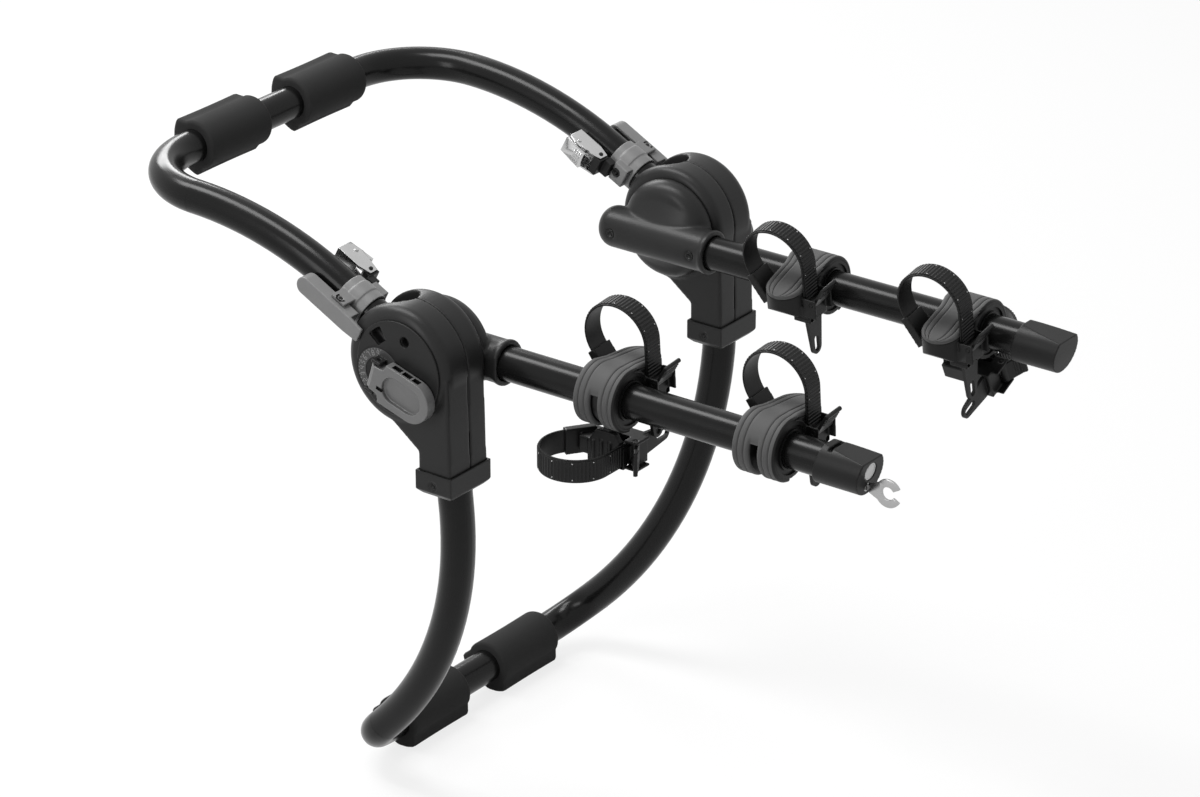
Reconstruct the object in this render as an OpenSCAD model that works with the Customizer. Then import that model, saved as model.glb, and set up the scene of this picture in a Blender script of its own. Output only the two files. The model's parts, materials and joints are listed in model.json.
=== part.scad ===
// Trunk mounted bike rack: two hubs join a lower frame, an upper frame and two carrying arms.
// Millimetres. +Z is up, -Y is the way the arms point, +Y faces the car.
// The origin lies midway between the lower pads, on the plane of their contact faces.

/* [Frame tubes] */
// outer diameter of every tube
tube_d = 32; // [31:0.25:33]
// wall of every tube
tube_wall = 1.8; // [1.4:0.1:2.2]
// distance from the middle plane to each hub
half_spread = 205; // [198:1:215]
// distance of the leg axis in front of the fold axis
leg_front = 36; // [35:0.5:37]
// depth of the top of each leg under the fold axis
leg_top = 58; // [56:1:62]
// depth under the fold axis at which the leg starts to bend
leg_drop = 118; // [118:1:126]
// inward lean of each lower leg in degrees
toe_angle = 7.5; // [6:0.5:9]
// centreline radius of the inward bend
toe_radius = 90; // [80:5:110]
// centreline radius of the long bend of the lower leg
leg_radius = 402; // [390:2:414]
// turn of the long bend of the lower leg in degrees
leg_turn = 45; // [42:0.5:48]
// centreline radius of the lower corners
lower_corner = 48; // [44:1:52]
// slope of the upper leg at the hub in degrees
upper_angle = 27.6; // [26:0.4:29.2]
// length of the straight part of the upper leg, from the fold axis
upper_straight = 104; // [103:1:112]
// centreline radius of the long bend of the upper leg
upper_radius = 383; // [372:1:394]
// turn of the long bend of the upper leg in degrees
upper_turn = 26.25; // [24.25:0.25:28.25]
// centreline radius of the upper corners
upper_corner = 82; // [78:1:84]

/* [Pads] */
// length of each foam pad along the tube
pad_length = 86; // [80:1:92]
// distance of each pad's middle from the middle plane
pad_place = 70.5; // [66:0.5:74]
// radius of the round side of a pad
pad_round = 24.3; // [23.8:0.1:24.8]
// distance from the tube axis to the contact face
pad_reach = 23.5; // [23:0.25:24.5]
// half width of the contact side
pad_half = 28.5; // [27.5:0.25:29.5]
// direction of the lower contact faces, degrees above +Y
lower_face = -65; // [-70:1:-60]
// direction of the upper contact faces, degrees above +Y
upper_face = -24; // [-30:1:-18]

/* [Hubs] */
// radius of the hub housing
hub_radius = 57; // [56.5:0.25:58]
// shift of the housing's round towards the car
hub_shift = 4; // [3:0.5:4.5]
// width of the outer half of the housing
hub_out = 32; // [31.5:0.25:32.5]
// width of the inner half of the housing
hub_in = 28; // [27.75:0.05:28.25]
// rounding of the housing edges
hub_edge = 11; // [9:0.5:12]
// radius of the hollow inside the housing
hollow_radius = 46; // [44:0.5:47]
// radius of the hub axle
axle_r = 6; // [5.5:0.25:6.5]
// height of each neck collar
collar_height = 24; // [22:0.5:25]
// depth of the neck collar's lower face under the fold axis
collar_depth = 117; // [116:0.25:117.5]
// wall of each neck collar
collar_wall = 2.2; // [2:0.1:2.6]
// radius of the round dial on the outer face
dial_radius = 46; // [44:0.5:46]
// thickness of the dial
dial_thick = 2; // [1.6:0.1:2.4]
// upward fold of the upper frame in degrees
fold_up = 40; // [30:1:42]
// downward fold of the upper frame in degrees
fold_down = 60; // [40:1:62]

/* [Arms] */
// distance from the middle plane to each arm
arm_place = 158; // [157.5:0.25:158.5]
// drop of the arm axis under the fold axis
arm_drop = 6; // [5:0.5:7]
// reach of the arm tube in front of the fold axis
arm_reach = 424; // [420:1:428]
// radius of the arm socket
socket_r = 20.4; // [20:0.1:20.8]
// radius of the turning disc of the socket
disc_r = 48; // [46:0.5:50]
// depth of the arm tube inside its end cap
cap_seat = 26; // [22:1:30]
// length of the end caps
cap_length = 54; // [50:1:58]
// radius of the end caps
cap_r = 20; // [19.5:0.25:21]
// lean of both ends of the caps in degrees
cap_lean = 10; // [6:1:12]
// fall of the flat on top of the caps over their length
cap_fall = 6.5; // [4:0.5:8]
// radius of the bright plate on the lock cap
plate_r = 8.3; // [7.5:0.1:9]
// radius of the lock core
core_r = 4.2; // [3.8:0.1:4.6]
// drop of the lock core under the arm axis
core_drop = 13; // [12.5:0.25:13.5]

/* [Cradles] */
// distance of the second cradle from the end cap
cradle_inset = 52; // [48:1:56]
// distance between the two cradles of an arm
cradle_pitch = 170; // [166:1:174]
// half length of a cradle along the arm
cradle_half = 22; // [21:0.5:23]
// radius of the cradle's rings
ring_r = 26.4; // [26:0.2:27]
// thickness of the rubber pad
rubber = 3; // [2.4:0.2:3.4]
// inward reach of the cradle's shelf
shelf_reach = 62; // [58:1:64]
// drop of the shelf's top over its reach
shelf_drop = 11; // [9:0.5:13]
// half width of the gap between the rings
gap_half = 4.2; // [4:0.1:5]
// width of the ladder straps
strap_w = 22; // [20:0.5:23]
// thickness of the ladder straps
strap_t = 2.6; // [2.2:0.1:3]
// radius of the strap's loop
loop_r = 33; // [32:0.25:34]
// height of the loop's centre above the arm axis
loop_rise = 41; // [39.5:0.5:42.5]
// shift of the loop's centre towards the hub
loop_lead = 12; // [11.5:0.25:12.5]
// length of the strap's free end under the arm axis
tail_end = 45; // [42:1:48]
// inward place of the straps from the arm axis
strap_place = 35; // [34:0.5:36]
// turn of the loop past its lowest side in degrees
loop_tuck = 35; // [32:0.5:38]

// roll of the left cradles on their arm in degrees, shelf down
left_roll = -5; // [-8:1:0]
// roll of the right cradles on their arm in degrees, shelf down
right_roll = 10; // [4:1:12]

/* [Anti sway cradles] */
// drop of the lower strap under the arm axis
sway_drop = 52; // [51:0.5:54]
// extra shift of the lower loop's centre towards the hub
sway_lead = 4.5; // [4:0.25:5.5]
// shift of the lower strap towards the middle
sway_shift = 10; // [9:0.5:11]
// outward swing of the right lower cradle in degrees
sway_turn = 26; // [20:1:32]

/* [Levers and buckles] */
// start of the strap collar from the fold axis
clip_start = 64; // [64:0.25:66]
// length of the strap collar
clip_length = 30; // [29.5:0.25:31]
// radius of the strap collar
clip_r = 18.2; // [18:0.1:18.6]
// width of the long index lever
index_w = 17; // [16.5:0.25:18]
// length of the dial lever from its pin to its round end
dial_lever = 66; // [62:1:70]
// half width of the dial lever
dial_half = 20; // [19:0.5:21]
// slope of the dial lever in degrees
dial_slope = 17; // [13:1:21]
// width of the cam buckle between its cheeks
cam_w = 22; // [20:0.5:23]
// radius of the small hinge pins
pin_r = 2; // [1.8:0.1:2.2]

/* [Clearances] */
// radial play of turning parts
run_gap = 0.06; // [0.04:0.01:0.09]
// radial play of seated parts
seat_gap = 0.03; // [0.02:0.01:0.06]
// gap between turning faces
face_gap = 0.4; // [0.35:0.05:0.6]

/* [Hidden] */
$fn = 64;
tube_r = tube_d / 2;
bore_r = tube_r - tube_wall;

toe_start = [half_spread, -leg_front, -leg_drop];
toe_end = toe_start - toe_radius * [1 - cos(toe_angle), 0, sin(toe_angle)];
toe_dir = [-sin(toe_angle), 0, -cos(toe_angle)];
sweep_end = toe_end + leg_radius * (sin(leg_turn) * toe_dir + (1 - cos(leg_turn)) * [0, 1, 0]);
sweep_dir = cos(leg_turn) * toe_dir + sin(leg_turn) * [0, 1, 0];
corner_turn = acos(-sweep_dir[0]);
corner_side = ([-1, 0, 0] - cos(corner_turn) * sweep_dir) / sin(corner_turn);
lower_end = sweep_end
    + lower_corner * (sin(corner_turn) * sweep_dir + (1 - cos(corner_turn)) * corner_side);

upper_dir = [0, cos(upper_angle), sin(upper_angle)];
upper_side = [0, sin(upper_angle), -cos(upper_angle)];
upper_bend = [half_spread, 0, 0] + upper_straight * upper_dir;
bend_end = upper_bend + upper_radius * (sin(upper_turn) * upper_dir + (1 - cos(upper_turn)) * upper_side);
bend_dir = cos(upper_turn) * upper_dir + sin(upper_turn) * upper_side;
upper_end = bend_end + upper_corner * (bend_dir + [-1, 0, 0]);

seat = [0, lower_end[1] + pad_reach * cos(lower_face), lower_end[2] + pad_reach * sin(lower_face)];

collar_top = collar_depth - collar_height;
neck_end = collar_depth - 5;
neck_front = leg_front + 18.5;
neck_back = leg_front - 17.5;
neck_in = hub_in - 4;
neck_out = hub_out - 2;
collar_screw = 12;
axle_head = 13;
knuckle_r = 22;
arm_in = half_spread - arm_place;
hollow_half = tube_r + 1.2;
slot_half = tube_r + 0.8;
boss_r = 20;
disc_face = hub_in + face_gap;
socket_back = 65.6;
socket_mouth = 62;
tube_back = 50;
core_depth = 18;
cap_start = arm_reach - cap_seat;
cradle_two = cap_start - cradle_inset;
cradle_one = cradle_two - cradle_pitch;
core_end = cap_start + cap_length;
cap_slot = 0.3 * cap_length;
cap_face = core_end - 4;
core_face = cap_face - core_drop * tan(cap_lean) - 1;
dial_ear = 15.4;
dial_ear_half = 1.6;
screw_r = 2.5;
head_r = 4.4;
shelf_slope = shelf_drop / shelf_reach;
strap_in = strap_place - strap_w / 2;
strap_out = strap_place + strap_w / 2;
root_half = 4.5;
root_length = 30;
ear = 2.2;
slot_play = 0.4;
lever_y = -(loop_r + 8.5);
lever_z = 9;
dial_pin = [21, -8];
dial_face = hub_out + dial_thick;
index_x = tube_r + 6;
index_thick = 14;
index_pin_z = 84;
index_pin_x = index_x + 5;
cam_x = -(clip_r + 4);
cam_pin_z = clip_start + clip_length + 4;
cam_lever_z = cam_pin_z + 24;
cam_lever_x = cam_x - 15;
cam_sheet = 1.6;
tube_start = 26;

joint_gap = 0.15;
weld_half = 0.6;
weld_rise = 0.06;

// helpers

module place() {
    translate(-seat) children();
}

module sided(s) {
    if (s > 0) {
        children();
    } else {
        mirror([1, 0, 0]) children();
    }
}

module hub_at(s) {
    place() sided(s) translate([half_spread, 0, 0]) children();
}

module leg_at(s) {
    hub_at(s) rotate([upper_angle - 90, 0, 0]) children();
}

module arm_spot(s, along, roll) {
    place() sided(s) translate([arm_place, -along, -arm_drop]) mirror([1, 0, 0]) rotate([0, roll, 0])
        children();
}

module cradle_at(s, along) {
    arm_spot(s, along, s > 0 ? right_roll : left_roll) children();
}

module sway_at(s, along, turn) {
    arm_spot(s, along, turn) children();
}

module sway_strap_at() {
    translate([sway_shift, sway_lead, -sway_drop]) rotate([0, -90, 0]) translate([-strap_place, 0, 0])
        children();
}

module framed(p, ex, ey, ez) {
    multmatrix([
        [ex[0], ey[0], ez[0], p[0]],
        [ex[1], ey[1], ez[1], p[1]],
        [ex[2], ey[2], ez[2], p[2]],
        [0, 0, 0, 1]
    ]) children();
}

module ring(r, wall, h) {
    difference() {
        cylinder(r = r, h = h);
        translate([0, 0, -1]) cylinder(r = r - wall, h = h + 2);
    }
}

// straight pipe from p along dir
module pipe(p, dir, side, len) {
    framed(p, side, cross(dir, side), dir) translate([0, 0, joint_gap])
        ring(tube_r, tube_wall, len - 2 * joint_gap);
}

// pipe bent towards side, from p along dir
module bent_pipe(p, dir, side, big, turn) {
    short = joint_gap / big * 180 / PI;
    framed(p + big * side, -side, dir, cross(dir, side))
        rotate(short) rotate_extrude(angle = turn - 2 * short) translate([big, 0]) difference() {
            circle(r = tube_r);
            circle(r = bore_r);
        }
}

// weld band over the meeting of two pipes at p
module weld(p, dir, side) {
    framed(p, side, cross(dir, side), dir) translate([0, 0, -weld_half])
        ring(tube_r + weld_rise, tube_wall + 2 * weld_rise, 2 * weld_half);
}

module block(x0, x1, y0, y1, z0, z1) {
    translate([x0, y0, z0]) cube([x1 - x0, y1 - y0, z1 - z0]);
}

module pin_along_y(x, z, half, r) {
    translate([x, -half, z]) rotate([-90, 0, 0]) cylinder(r = r, h = 2 * half);
}

module x_rod(x0, x1, r, y = 0, z = 0) {
    translate([x0, y, z]) rotate([0, 90, 0]) cylinder(r = r, h = x1 - x0);
}

module y_rod(y0, y1, r, x = 0, z = 0) {
    translate([x, y1, z]) rotate([90, 0, 0]) cylinder(r = r, h = y1 - y0);
}

// turns a drawing in (across, up) into the YZ plane, thickness along X
module across_x() {
    rotate([90, 0, 90]) children();
}

module edge_profile(r, h, f) {
    square([r - f, h]);
    square([r, h - f]);
    translate([r - f, h - f]) intersection() {
        circle(r = f);
        square(f);
    }
}

module stadium(x0, x1, r) {
    translate([x0, -r]) square([x1 - x0, 2 * r]);
    translate([x0, 0]) circle(r = r);
    translate([x1, 0]) circle(r = r);
}

// lower frame

module lower_half() {
    leg_start = toe_start + [0, 0, leg_drop - leg_top];
    pipe(leg_start, [0, 0, -1], [-1, 0, 0], leg_drop - leg_top);
    weld(toe_start, [0, 0, -1], [-1, 0, 0]);
    bent_pipe(toe_start, [0, 0, -1], [-1, 0, 0], toe_radius, toe_angle);
    weld(toe_end, toe_dir, [0, 1, 0]);
    bent_pipe(toe_end, toe_dir, [0, 1, 0], leg_radius, leg_turn);
    weld(sweep_end, sweep_dir, corner_side);
    bent_pipe(sweep_end, sweep_dir, corner_side, lower_corner, corner_turn);
    weld(lower_end, [-1, 0, 0], [0, 1, 0]);
}

module lower_frame_tube() {
    color("#0c0c0d") place() {
        lower_half();
        mirror([1, 0, 0]) lower_half();
        pipe(lower_end, [-1, 0, 0], [0, 1, 0], 2 * lower_end[0]);
    }
}

module pad_section() {
    difference() {
        union() {
            circle(r = pad_round);
            polygon([
                [-4, pad_half - 7.5], [11, pad_half], [19, pad_half - 8], [pad_reach, 13],
                [pad_reach, 6.5], [pad_reach - 2, 4.5], [pad_reach, 2.5],
                [pad_reach, -2.5], [pad_reach - 2, -4.5], [pad_reach, -6.5],
                [pad_reach, -13], [19, 8 - pad_half], [11, -pad_half], [-4, 7.5 - pad_half]
            ]);
        }
        circle(r = tube_r + seat_gap);
    }
}

module pad_pair(bar, face) {
    for (s = [-1, 1]) {
        place() translate([s * pad_place - pad_length / 2, bar[1], bar[2]])
            across_x() linear_extrude(pad_length) rotate(face) pad_section();
    }
}

module lower_pads() {
    color("#1b1b1c") pad_pair(lower_end, lower_face);
}

// hubs

module neck_outline() {
    polygon([
        [hub_shift + 1 - hub_radius, 0], [-neck_front, -collar_top], [-neck_front, -neck_end],
        [-neck_back, -neck_end], [-neck_back, -76], [24, -44], [24, 0]
    ]);
}

module swing_slot() {
    across_x() rotate(upper_angle - fold_down - 3) rotate_extrude(angle = fold_up + fold_down + 6)
        translate([30, -slot_half]) square([hub_radius, 2 * slot_half]);
    for (a = [upper_angle - fold_down, upper_angle + fold_up]) {
        rotate([a - 90, 0, 0]) cylinder(r = slot_half - 0.3, h = 90);
    }
}

module leg_bore() {
    translate([0, -leg_front, -leg_top - 80]) cylinder(r = tube_r + seat_gap, h = 80);
}

module neck_screw_bores() {
    x_rod(-hub_in - 5, -tube_r - 2, screw_r + seat_gap, -leg_front, collar_screw - collar_depth);
    x_rod(tube_r + 2, hub_out + 5, screw_r + seat_gap, -leg_front, collar_screw - collar_depth);
}

module outer_shell() {
    difference() {
        union() {
            across_x() translate([hub_shift, 0]) rotate_extrude() edge_profile(hub_radius, hub_out, hub_edge);
            across_x() linear_extrude(neck_out) neck_outline();
        }
        x_rod(-1, hollow_half, hollow_radius);
        swing_slot();
        leg_bore();
        neck_screw_bores();
        x_rod(5, hub_out + 1, axle_r + seat_gap);
        x_rod(hub_out - 6, hub_out + 1, axle_head + 1);
        x_rod(hub_out - 8, hub_out + 1, 5, -8, 28.5);
        across_x() translate([0, 0, hub_out - 9]) rotate(40) rotate_extrude(angle = 22)
            translate([28, 0]) square([14, 10]);
    }
}

module inner_shell() {
    difference() {
        union() {
            across_x() translate([hub_shift, 0]) rotate([180, 0, 0])
                rotate_extrude() edge_profile(hub_radius, hub_in, hub_edge - 2);
            translate([-neck_in, 0, 0]) across_x() linear_extrude(neck_in) neck_outline();
        }
        x_rod(-hollow_half, 1, hollow_radius);
        swing_slot();
        leg_bore();
        neck_screw_bores();
        x_rod(-hub_in - 1, -5, boss_r + run_gap);
    }
}

module left_hub_outer_shell() {
    color("#2b2b2d") hub_at(-1) outer_shell();
}

module right_hub_outer_shell() {
    color("#2b2b2d") hub_at(1) outer_shell();
}

module left_hub_inner_shell() {
    color("#2b2b2d") hub_at(-1) inner_shell();
}

module right_hub_inner_shell() {
    color("#2b2b2d") hub_at(1) inner_shell();
}

module collar_block(grow, z0, z1) {
    block(-neck_in - grow, neck_out + grow, -neck_front - grow, grow - neck_back, z0, z1);
}

module neck_collar() {
    w = collar_wall;
    difference() {
        collar_block(w, -collar_depth, -collar_top);
        collar_block(seat_gap, -neck_end, 1 - collar_top);
        translate([0, -leg_front, -collar_depth - 1]) cylinder(r = tube_r + seat_gap, h = 20);
        for (s = [-1, 1]) {
            x_mid = s > 0 ? neck_out + w : -neck_in - w;
            translate([x_mid, 0, -collar_depth]) rotate([0, 45, 0]) block(-4, 4, -100, 100, -4, 4);
        }
        for (y = [-neck_front - w, w - neck_back]) {
            translate([0, y, -collar_depth]) rotate([45, 0, 0]) block(-100, 100, -3, 3, -3, 3);
        }
        x_rod(-100, 100, screw_r + seat_gap, -leg_front, collar_screw - collar_depth);
        x_rod(neck_out + 0.8, 100, head_r + seat_gap, -leg_front, collar_screw - collar_depth);
        x_rod(-100, -neck_in - 0.8, head_r + seat_gap, -leg_front, collar_screw - collar_depth);
    }
}

module neck_collars() {
    color("#262628") {
        hub_at(-1) neck_collar();
        hub_at(1) neck_collar();
    }
}

module neck_screw_set() {
    translate([0, -leg_front, collar_screw - collar_depth]) {
        x_rod(tube_r + 5, neck_out + 0.8, screw_r);
        x_rod(neck_out + 0.8, neck_out + 1.8, head_r);
        x_rod(-neck_in - 0.8, -tube_r - 3, screw_r);
        x_rod(-neck_in - 1.8, -neck_in - 0.8, head_r);
    }
}

module neck_screws() {
    color("#3a3a3c") {
        hub_at(-1) neck_screw_set();
        hub_at(1) neck_screw_set();
    }
}

module hub_axle() {
    x_rod(6 - hub_in, hub_out - 6, axle_r);
    x_rod(hub_out - 6, hub_out - 1, axle_head);
}

module hub_axles() {
    color("#4a4a4c") {
        hub_at(-1) hub_axle();
        hub_at(1) hub_axle();
    }
}

// the dial and its flip lever; the lever's own X runs from its pin to its round end

module dial_at() {
    translate([dial_face + 6, dial_pin[0], dial_pin[1]]) rotate([180 + dial_slope, 0, 0]) children();
}

module dial() {
    difference() {
        union() {
            x_rod(hub_out, dial_face, dial_radius);
            dial_at() for (s = [-1, 1]) {
                translate([-6 - dial_thick / 2, -5, s * dial_ear - dial_ear_half])
                    cube([12, 10, 2 * dial_ear_half]);
            }
        }
        dial_at() translate([0, 0, -20]) cylinder(r = pin_r + seat_gap, h = 40);
        across_x() translate([0, 0, hub_out - 1]) rotate(40) rotate_extrude(angle = 22)
            translate([28, 0]) square([14, 10]);
        x_rod(hub_out - 1, dial_face + 1, 5, -8, 28.5);
    }
}

module dials() {
    color("#222224") {
        hub_at(-1) dial();
        hub_at(1) dial();
    }
}

module dial_pins() {
    color("#5a5a5c") for (s = [-1, 1]) {
        hub_at(s) dial_at() translate([0, 0, -dial_ear - 1.1]) cylinder(r = pin_r, h = 2 * dial_ear + 2.2);
    }
}

module dial_lever_shape() {
    difference() {
        union() {
            translate([-5, 0, 0]) across_x() linear_extrude(11) union() {
                translate([12, -dial_half]) square([dial_lever - dial_half - 12, 2 * dial_half]);
                translate([dial_lever - dial_half, 0]) circle(r = dial_half);
                polygon([[0, -12], [0, 12], [10, 13], [13, dial_half], [13, -dial_half], [10, -13]]);
            }
            translate([0, 0, -12]) cylinder(r = 4.8, h = 24);
        }
        translate([2, 0, 0]) across_x() linear_extrude(10)
            stadium(26, dial_lever - dial_half - 2, dial_half - 7);
        translate([0, 0, -30]) cylinder(r = pin_r + run_gap, h = 60);
    }
}

module left_dial_lever() {
    color("#7e7e80") hub_at(-1) dial_at() dial_lever_shape();
}

module right_dial_lever() {
    color("#7e7e80") hub_at(1) dial_at() dial_lever_shape();
}

// upper frame

module upper_half() {
    leg_start = [half_spread, 0, 0] + tube_start * upper_dir;
    pipe(leg_start, upper_dir, upper_side, upper_straight - tube_start);
    weld(upper_bend, upper_dir, upper_side);
    bent_pipe(upper_bend, upper_dir, upper_side, upper_radius, upper_turn);
    weld(bend_end, bend_dir, [-1, 0, 0]);
    bent_pipe(bend_end, bend_dir, [-1, 0, 0], upper_corner, 90);
    weld(upper_end, [-1, 0, 0], [0, 1, 0]);
}

module upper_frame_tube() {
    color("#0c0c0d") place() {
        upper_half();
        mirror([1, 0, 0]) upper_half();
        pipe(upper_end, [-1, 0, 0], [0, 1, 0], 2 * upper_end[0]);
    }
}

module upper_knuckle() {
    difference() {
        union() {
            x_rod(1 - hollow_half, hollow_half - 1, knuckle_r);
            cylinder(r = bore_r - seat_gap, h = 62);
        }
        x_rod(-40, 40, axle_r + run_gap);
    }
}

module upper_knuckles() {
    color("#5c5c5e") {
        leg_at(-1) upper_knuckle();
        leg_at(1) upper_knuckle();
    }
}

module upper_pads() {
    color("#1b1b1c") pad_pair(upper_end, upper_face);
}

// strap collar on the upper leg; here Z runs along the tube and X points outwards

module strap_collar() {
    difference() {
        union() {
            translate([0, 0, clip_start]) cylinder(r = clip_r, h = clip_length);
            translate([0, 0, clip_start + 10]) cylinder(r = clip_r + 0.8, h = clip_length - 18);
            for (y = [-1, 1]) {
                block(0, index_pin_x + 4, y * (index_w / 2 + 1.9) - 1.5, y * (index_w / 2 + 1.9) + 1.5,
                    index_pin_z - 8, index_pin_z + 8);
            }
            block(cam_x - 2, 0, -10, 10, clip_start + 4, clip_start + clip_length - 10);
        }
        translate([0, 0, clip_start - 1]) cylinder(r = tube_r + seat_gap, h = clip_length + 2);
        block(tube_r + 4.2, 60, -index_w / 2 - 0.4, index_w / 2 + 0.4, 0, 200);
        pin_along_y(index_pin_x, index_pin_z, 50, pin_r + seat_gap);
        x_rod(cam_x - 3, -tube_r, screw_r + seat_gap, 0, clip_start + 15);
        x_rod(cam_x - 3, cam_x, head_r + 0.4, 0, clip_start + 15);
    }
}

module strap_collars() {
    color("#757577") {
        leg_at(-1) strap_collar();
        leg_at(1) strap_collar();
    }
}

module collar_screws() {
    color("#39393b") for (s = [-1, 1]) {
        leg_at(s) translate([0, 0, clip_start + 15]) {
            x_rod(cam_x, -tube_r - 1, screw_r);
            x_rod(cam_x - 1.4, cam_x, head_r);
        }
    }
}

module index_pins() {
    color("#5a5a5c") for (s = [-1, 1]) {
        leg_at(s) pin_along_y(index_pin_x, index_pin_z, index_w / 2 + 3, pin_r);
    }
}

module index_lever_shape() {
    h = index_w / 2;
    tongue_x = hub_out + 0.7;
    difference() {
        union() {
            translate([index_x, 0, 0]) across_x() linear_extrude(index_thick) union() {
                polygon([[-h, 64], [h, 64], [h, 118], [-h, 118]]);
                translate([0, 118]) circle(r = h);
            }
            translate([tongue_x, 0, 0]) across_x() linear_extrude(index_x + index_thick - tongue_x)
                polygon([[-7, 48], [7, 48], [h, 65], [-h, 65]]);
        }
        block(index_x - 1, index_x + 8.5, 3 - h, h - 3, 94, 121);
        pin_along_y(index_pin_x, index_pin_z, 50, pin_r + run_gap);
    }
}

module left_index_lever() {
    color("#757577") leg_at(-1) index_lever_shape();
}

module right_index_lever() {
    color("#757577") leg_at(1) index_lever_shape();
}

module buckle_link() {
    c = cam_w / 2 - cam_sheet - 0.4;
    block(cam_x - 16, cam_x - 2, -c, c, cam_pin_z - 6, cam_pin_z + 2);
    block(cam_x - 8, cam_x + 1, 1 - c, c - 1, clip_start + clip_length - 10, cam_pin_z - 5);
    pin_along_y(cam_x - 9, cam_pin_z, c, 6);
    pin_along_y(cam_x - 9, cam_pin_z, cam_w / 2 + 1, pin_r);
}

module buckle_links() {
    color("#161617") {
        leg_at(-1) buckle_link();
        leg_at(1) buckle_link();
    }
}

module cam_buckle() {
    h = cam_w / 2;
    difference() {
        union() {
            for (y = [-h, h - cam_sheet]) {
                translate([0, y + cam_sheet, 0]) rotate([90, 0, 0]) linear_extrude(cam_sheet) polygon([
                    [cam_x - 14, cam_pin_z - 4], [cam_x - 4, cam_pin_z - 4], [cam_x, cam_pin_z + 8],
                    [cam_x, cam_pin_z + 34], [cam_x - 17, cam_pin_z + 34], [cam_x - 20, cam_pin_z + 20]
                ]);
            }
            block(cam_x - cam_sheet, cam_x, -h, h, cam_pin_z + 10, cam_pin_z + 34);
        }
        pin_along_y(cam_x - 9, cam_pin_z, 50, pin_r + run_gap);
        pin_along_y(cam_lever_x, cam_lever_z, 50, pin_r + run_gap);
    }
}

module left_cam_buckle() {
    color("#b9b9bb") leg_at(-1) cam_buckle();
}

module right_cam_buckle() {
    color("#b9b9bb") leg_at(1) cam_buckle();
}

module cam_lever() {
    c = cam_w / 2 - cam_sheet - 0.5;
    translate([cam_lever_x, 0, cam_lever_z]) {
        pin_along_y(0, 0, c, 4.4);
        pin_along_y(0, 0, cam_w / 2 + 0.8, pin_r);
        rotate([0, 8, 0]) block(-7, -3.4, 0.4 - c, c - 0.4, -16, 10);
    }
}

module left_cam_lever() {
    color("#c4c4c6") leg_at(-1) cam_lever();
}

module right_cam_lever() {
    color("#c4c4c6") leg_at(1) cam_lever();
}

// arms

module arm_socket() {
    difference() {
        union() {
            difference() {
                union() {
                    translate([-disc_face, 0, 0]) across_x() rotate([180, 0, 0])
                        rotate_extrude() edge_profile(disc_r, 19, 14);
                    translate([-arm_in, -socket_mouth, -arm_drop]) rotate([-90, 0, 0])
                        rotate_extrude() edge_profile(socket_r, socket_mouth + socket_back, 15);
                    y_rod(-socket_mouth, 5 - socket_mouth, socket_r + 1.2, -arm_in, -arm_drop);
                }
                block(-disc_face, 40, -200, 200, -200, 200);
            }
            x_rod(-disc_face - 0.5, -hollow_half - 0.4, boss_r);
        }
        y_rod(-socket_mouth - 1, tube_back + 1, tube_r + seat_gap, -arm_in, -arm_drop);
        x_rod(5 - hub_in, 0, axle_r + run_gap);
        for (y = [15 - socket_mouth, 45]) {
            x_rod(-arm_in - 60, -arm_in, screw_r + seat_gap, y, -arm_drop);
            x_rod(-arm_in - 60, 2 - socket_r - arm_in, head_r + 0.6, y, -arm_drop);
        }
    }
}

module left_arm_socket() {
    color("#29292b") hub_at(-1) arm_socket();
}

module right_arm_socket() {
    color("#29292b") hub_at(1) arm_socket();
}

module arm_tube(reach) {
    translate([-arm_in, 0, -arm_drop]) difference() {
        y_rod(-reach, tube_back, tube_r);
        y_rod(-reach - 1, tube_back + 1, bore_r);
        for (y = [15 - socket_mouth, 45]) {
            x_rod(-60, 0, screw_r + seat_gap, y);
        }
    }
}

module left_arm_tube() {
    color("#0c0c0d") hub_at(-1) arm_tube(arm_reach);
}

module right_arm_tube() {
    color("#0c0c0d") hub_at(1) arm_tube(arm_reach);
}

module socket_screw_set() {
    for (y = [15 - socket_mouth, 45]) {
        translate([-arm_in, y, -arm_drop]) {
            x_rod(2 - socket_r - 1.6, 2 - socket_r, head_r);
            x_rod(2 - socket_r, 3 - bore_r, screw_r);
        }
    }
}

module left_socket_screws() {
    color("#3a3a3c") hub_at(-1) socket_screw_set();
}

module right_socket_screws() {
    color("#3a3a3c") hub_at(1) socket_screw_set();
}

module cap_body() {
    wide = 2 * cap_r;
    difference() {
        translate([0, -cap_start, 0]) rotate([90, 0, 0])
            rotate_extrude() edge_profile(cap_r, cap_length, 2.5);
        y_rod(-arm_reach - 0.2, wide - cap_start, tube_r + seat_gap);
        translate([0, -cap_start - 4, 0]) rotate([cap_lean, 0, 0]) block(-wide, wide, 0, wide, -wide, wide);
        translate([0, -cap_face, 0]) rotate([cap_lean, 0, 0]) block(-wide, wide, -wide, 0, -wide, wide);
        translate([0, -cap_start, cap_r]) rotate([atan(cap_fall / cap_length), 0, 0])
            block(-wide, wide, -2 * cap_length, 0, 0, cap_r);
    }
}

module lock_cap() {
    color("#1d1d1e") hub_at(-1) translate([-arm_in, 0, -arm_drop]) difference() {
        cap_body();
        translate([0, 0, -core_drop]) y_rod(-core_end - 1, -arm_reach - 1, core_r + run_gap);
        plate_at() y_rod(-20, 2.4, plate_r + seat_gap);
        block(-12, 12, -cap_start - cap_slot - 2, 2 - cap_start - cap_slot, cap_r - 5.2, cap_r + 5);
    }
}

module plate_at() {
    translate([0, -cap_face, 0]) rotate([cap_lean, 0, 0]) translate([0, 0, 2]) children();
}

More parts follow.
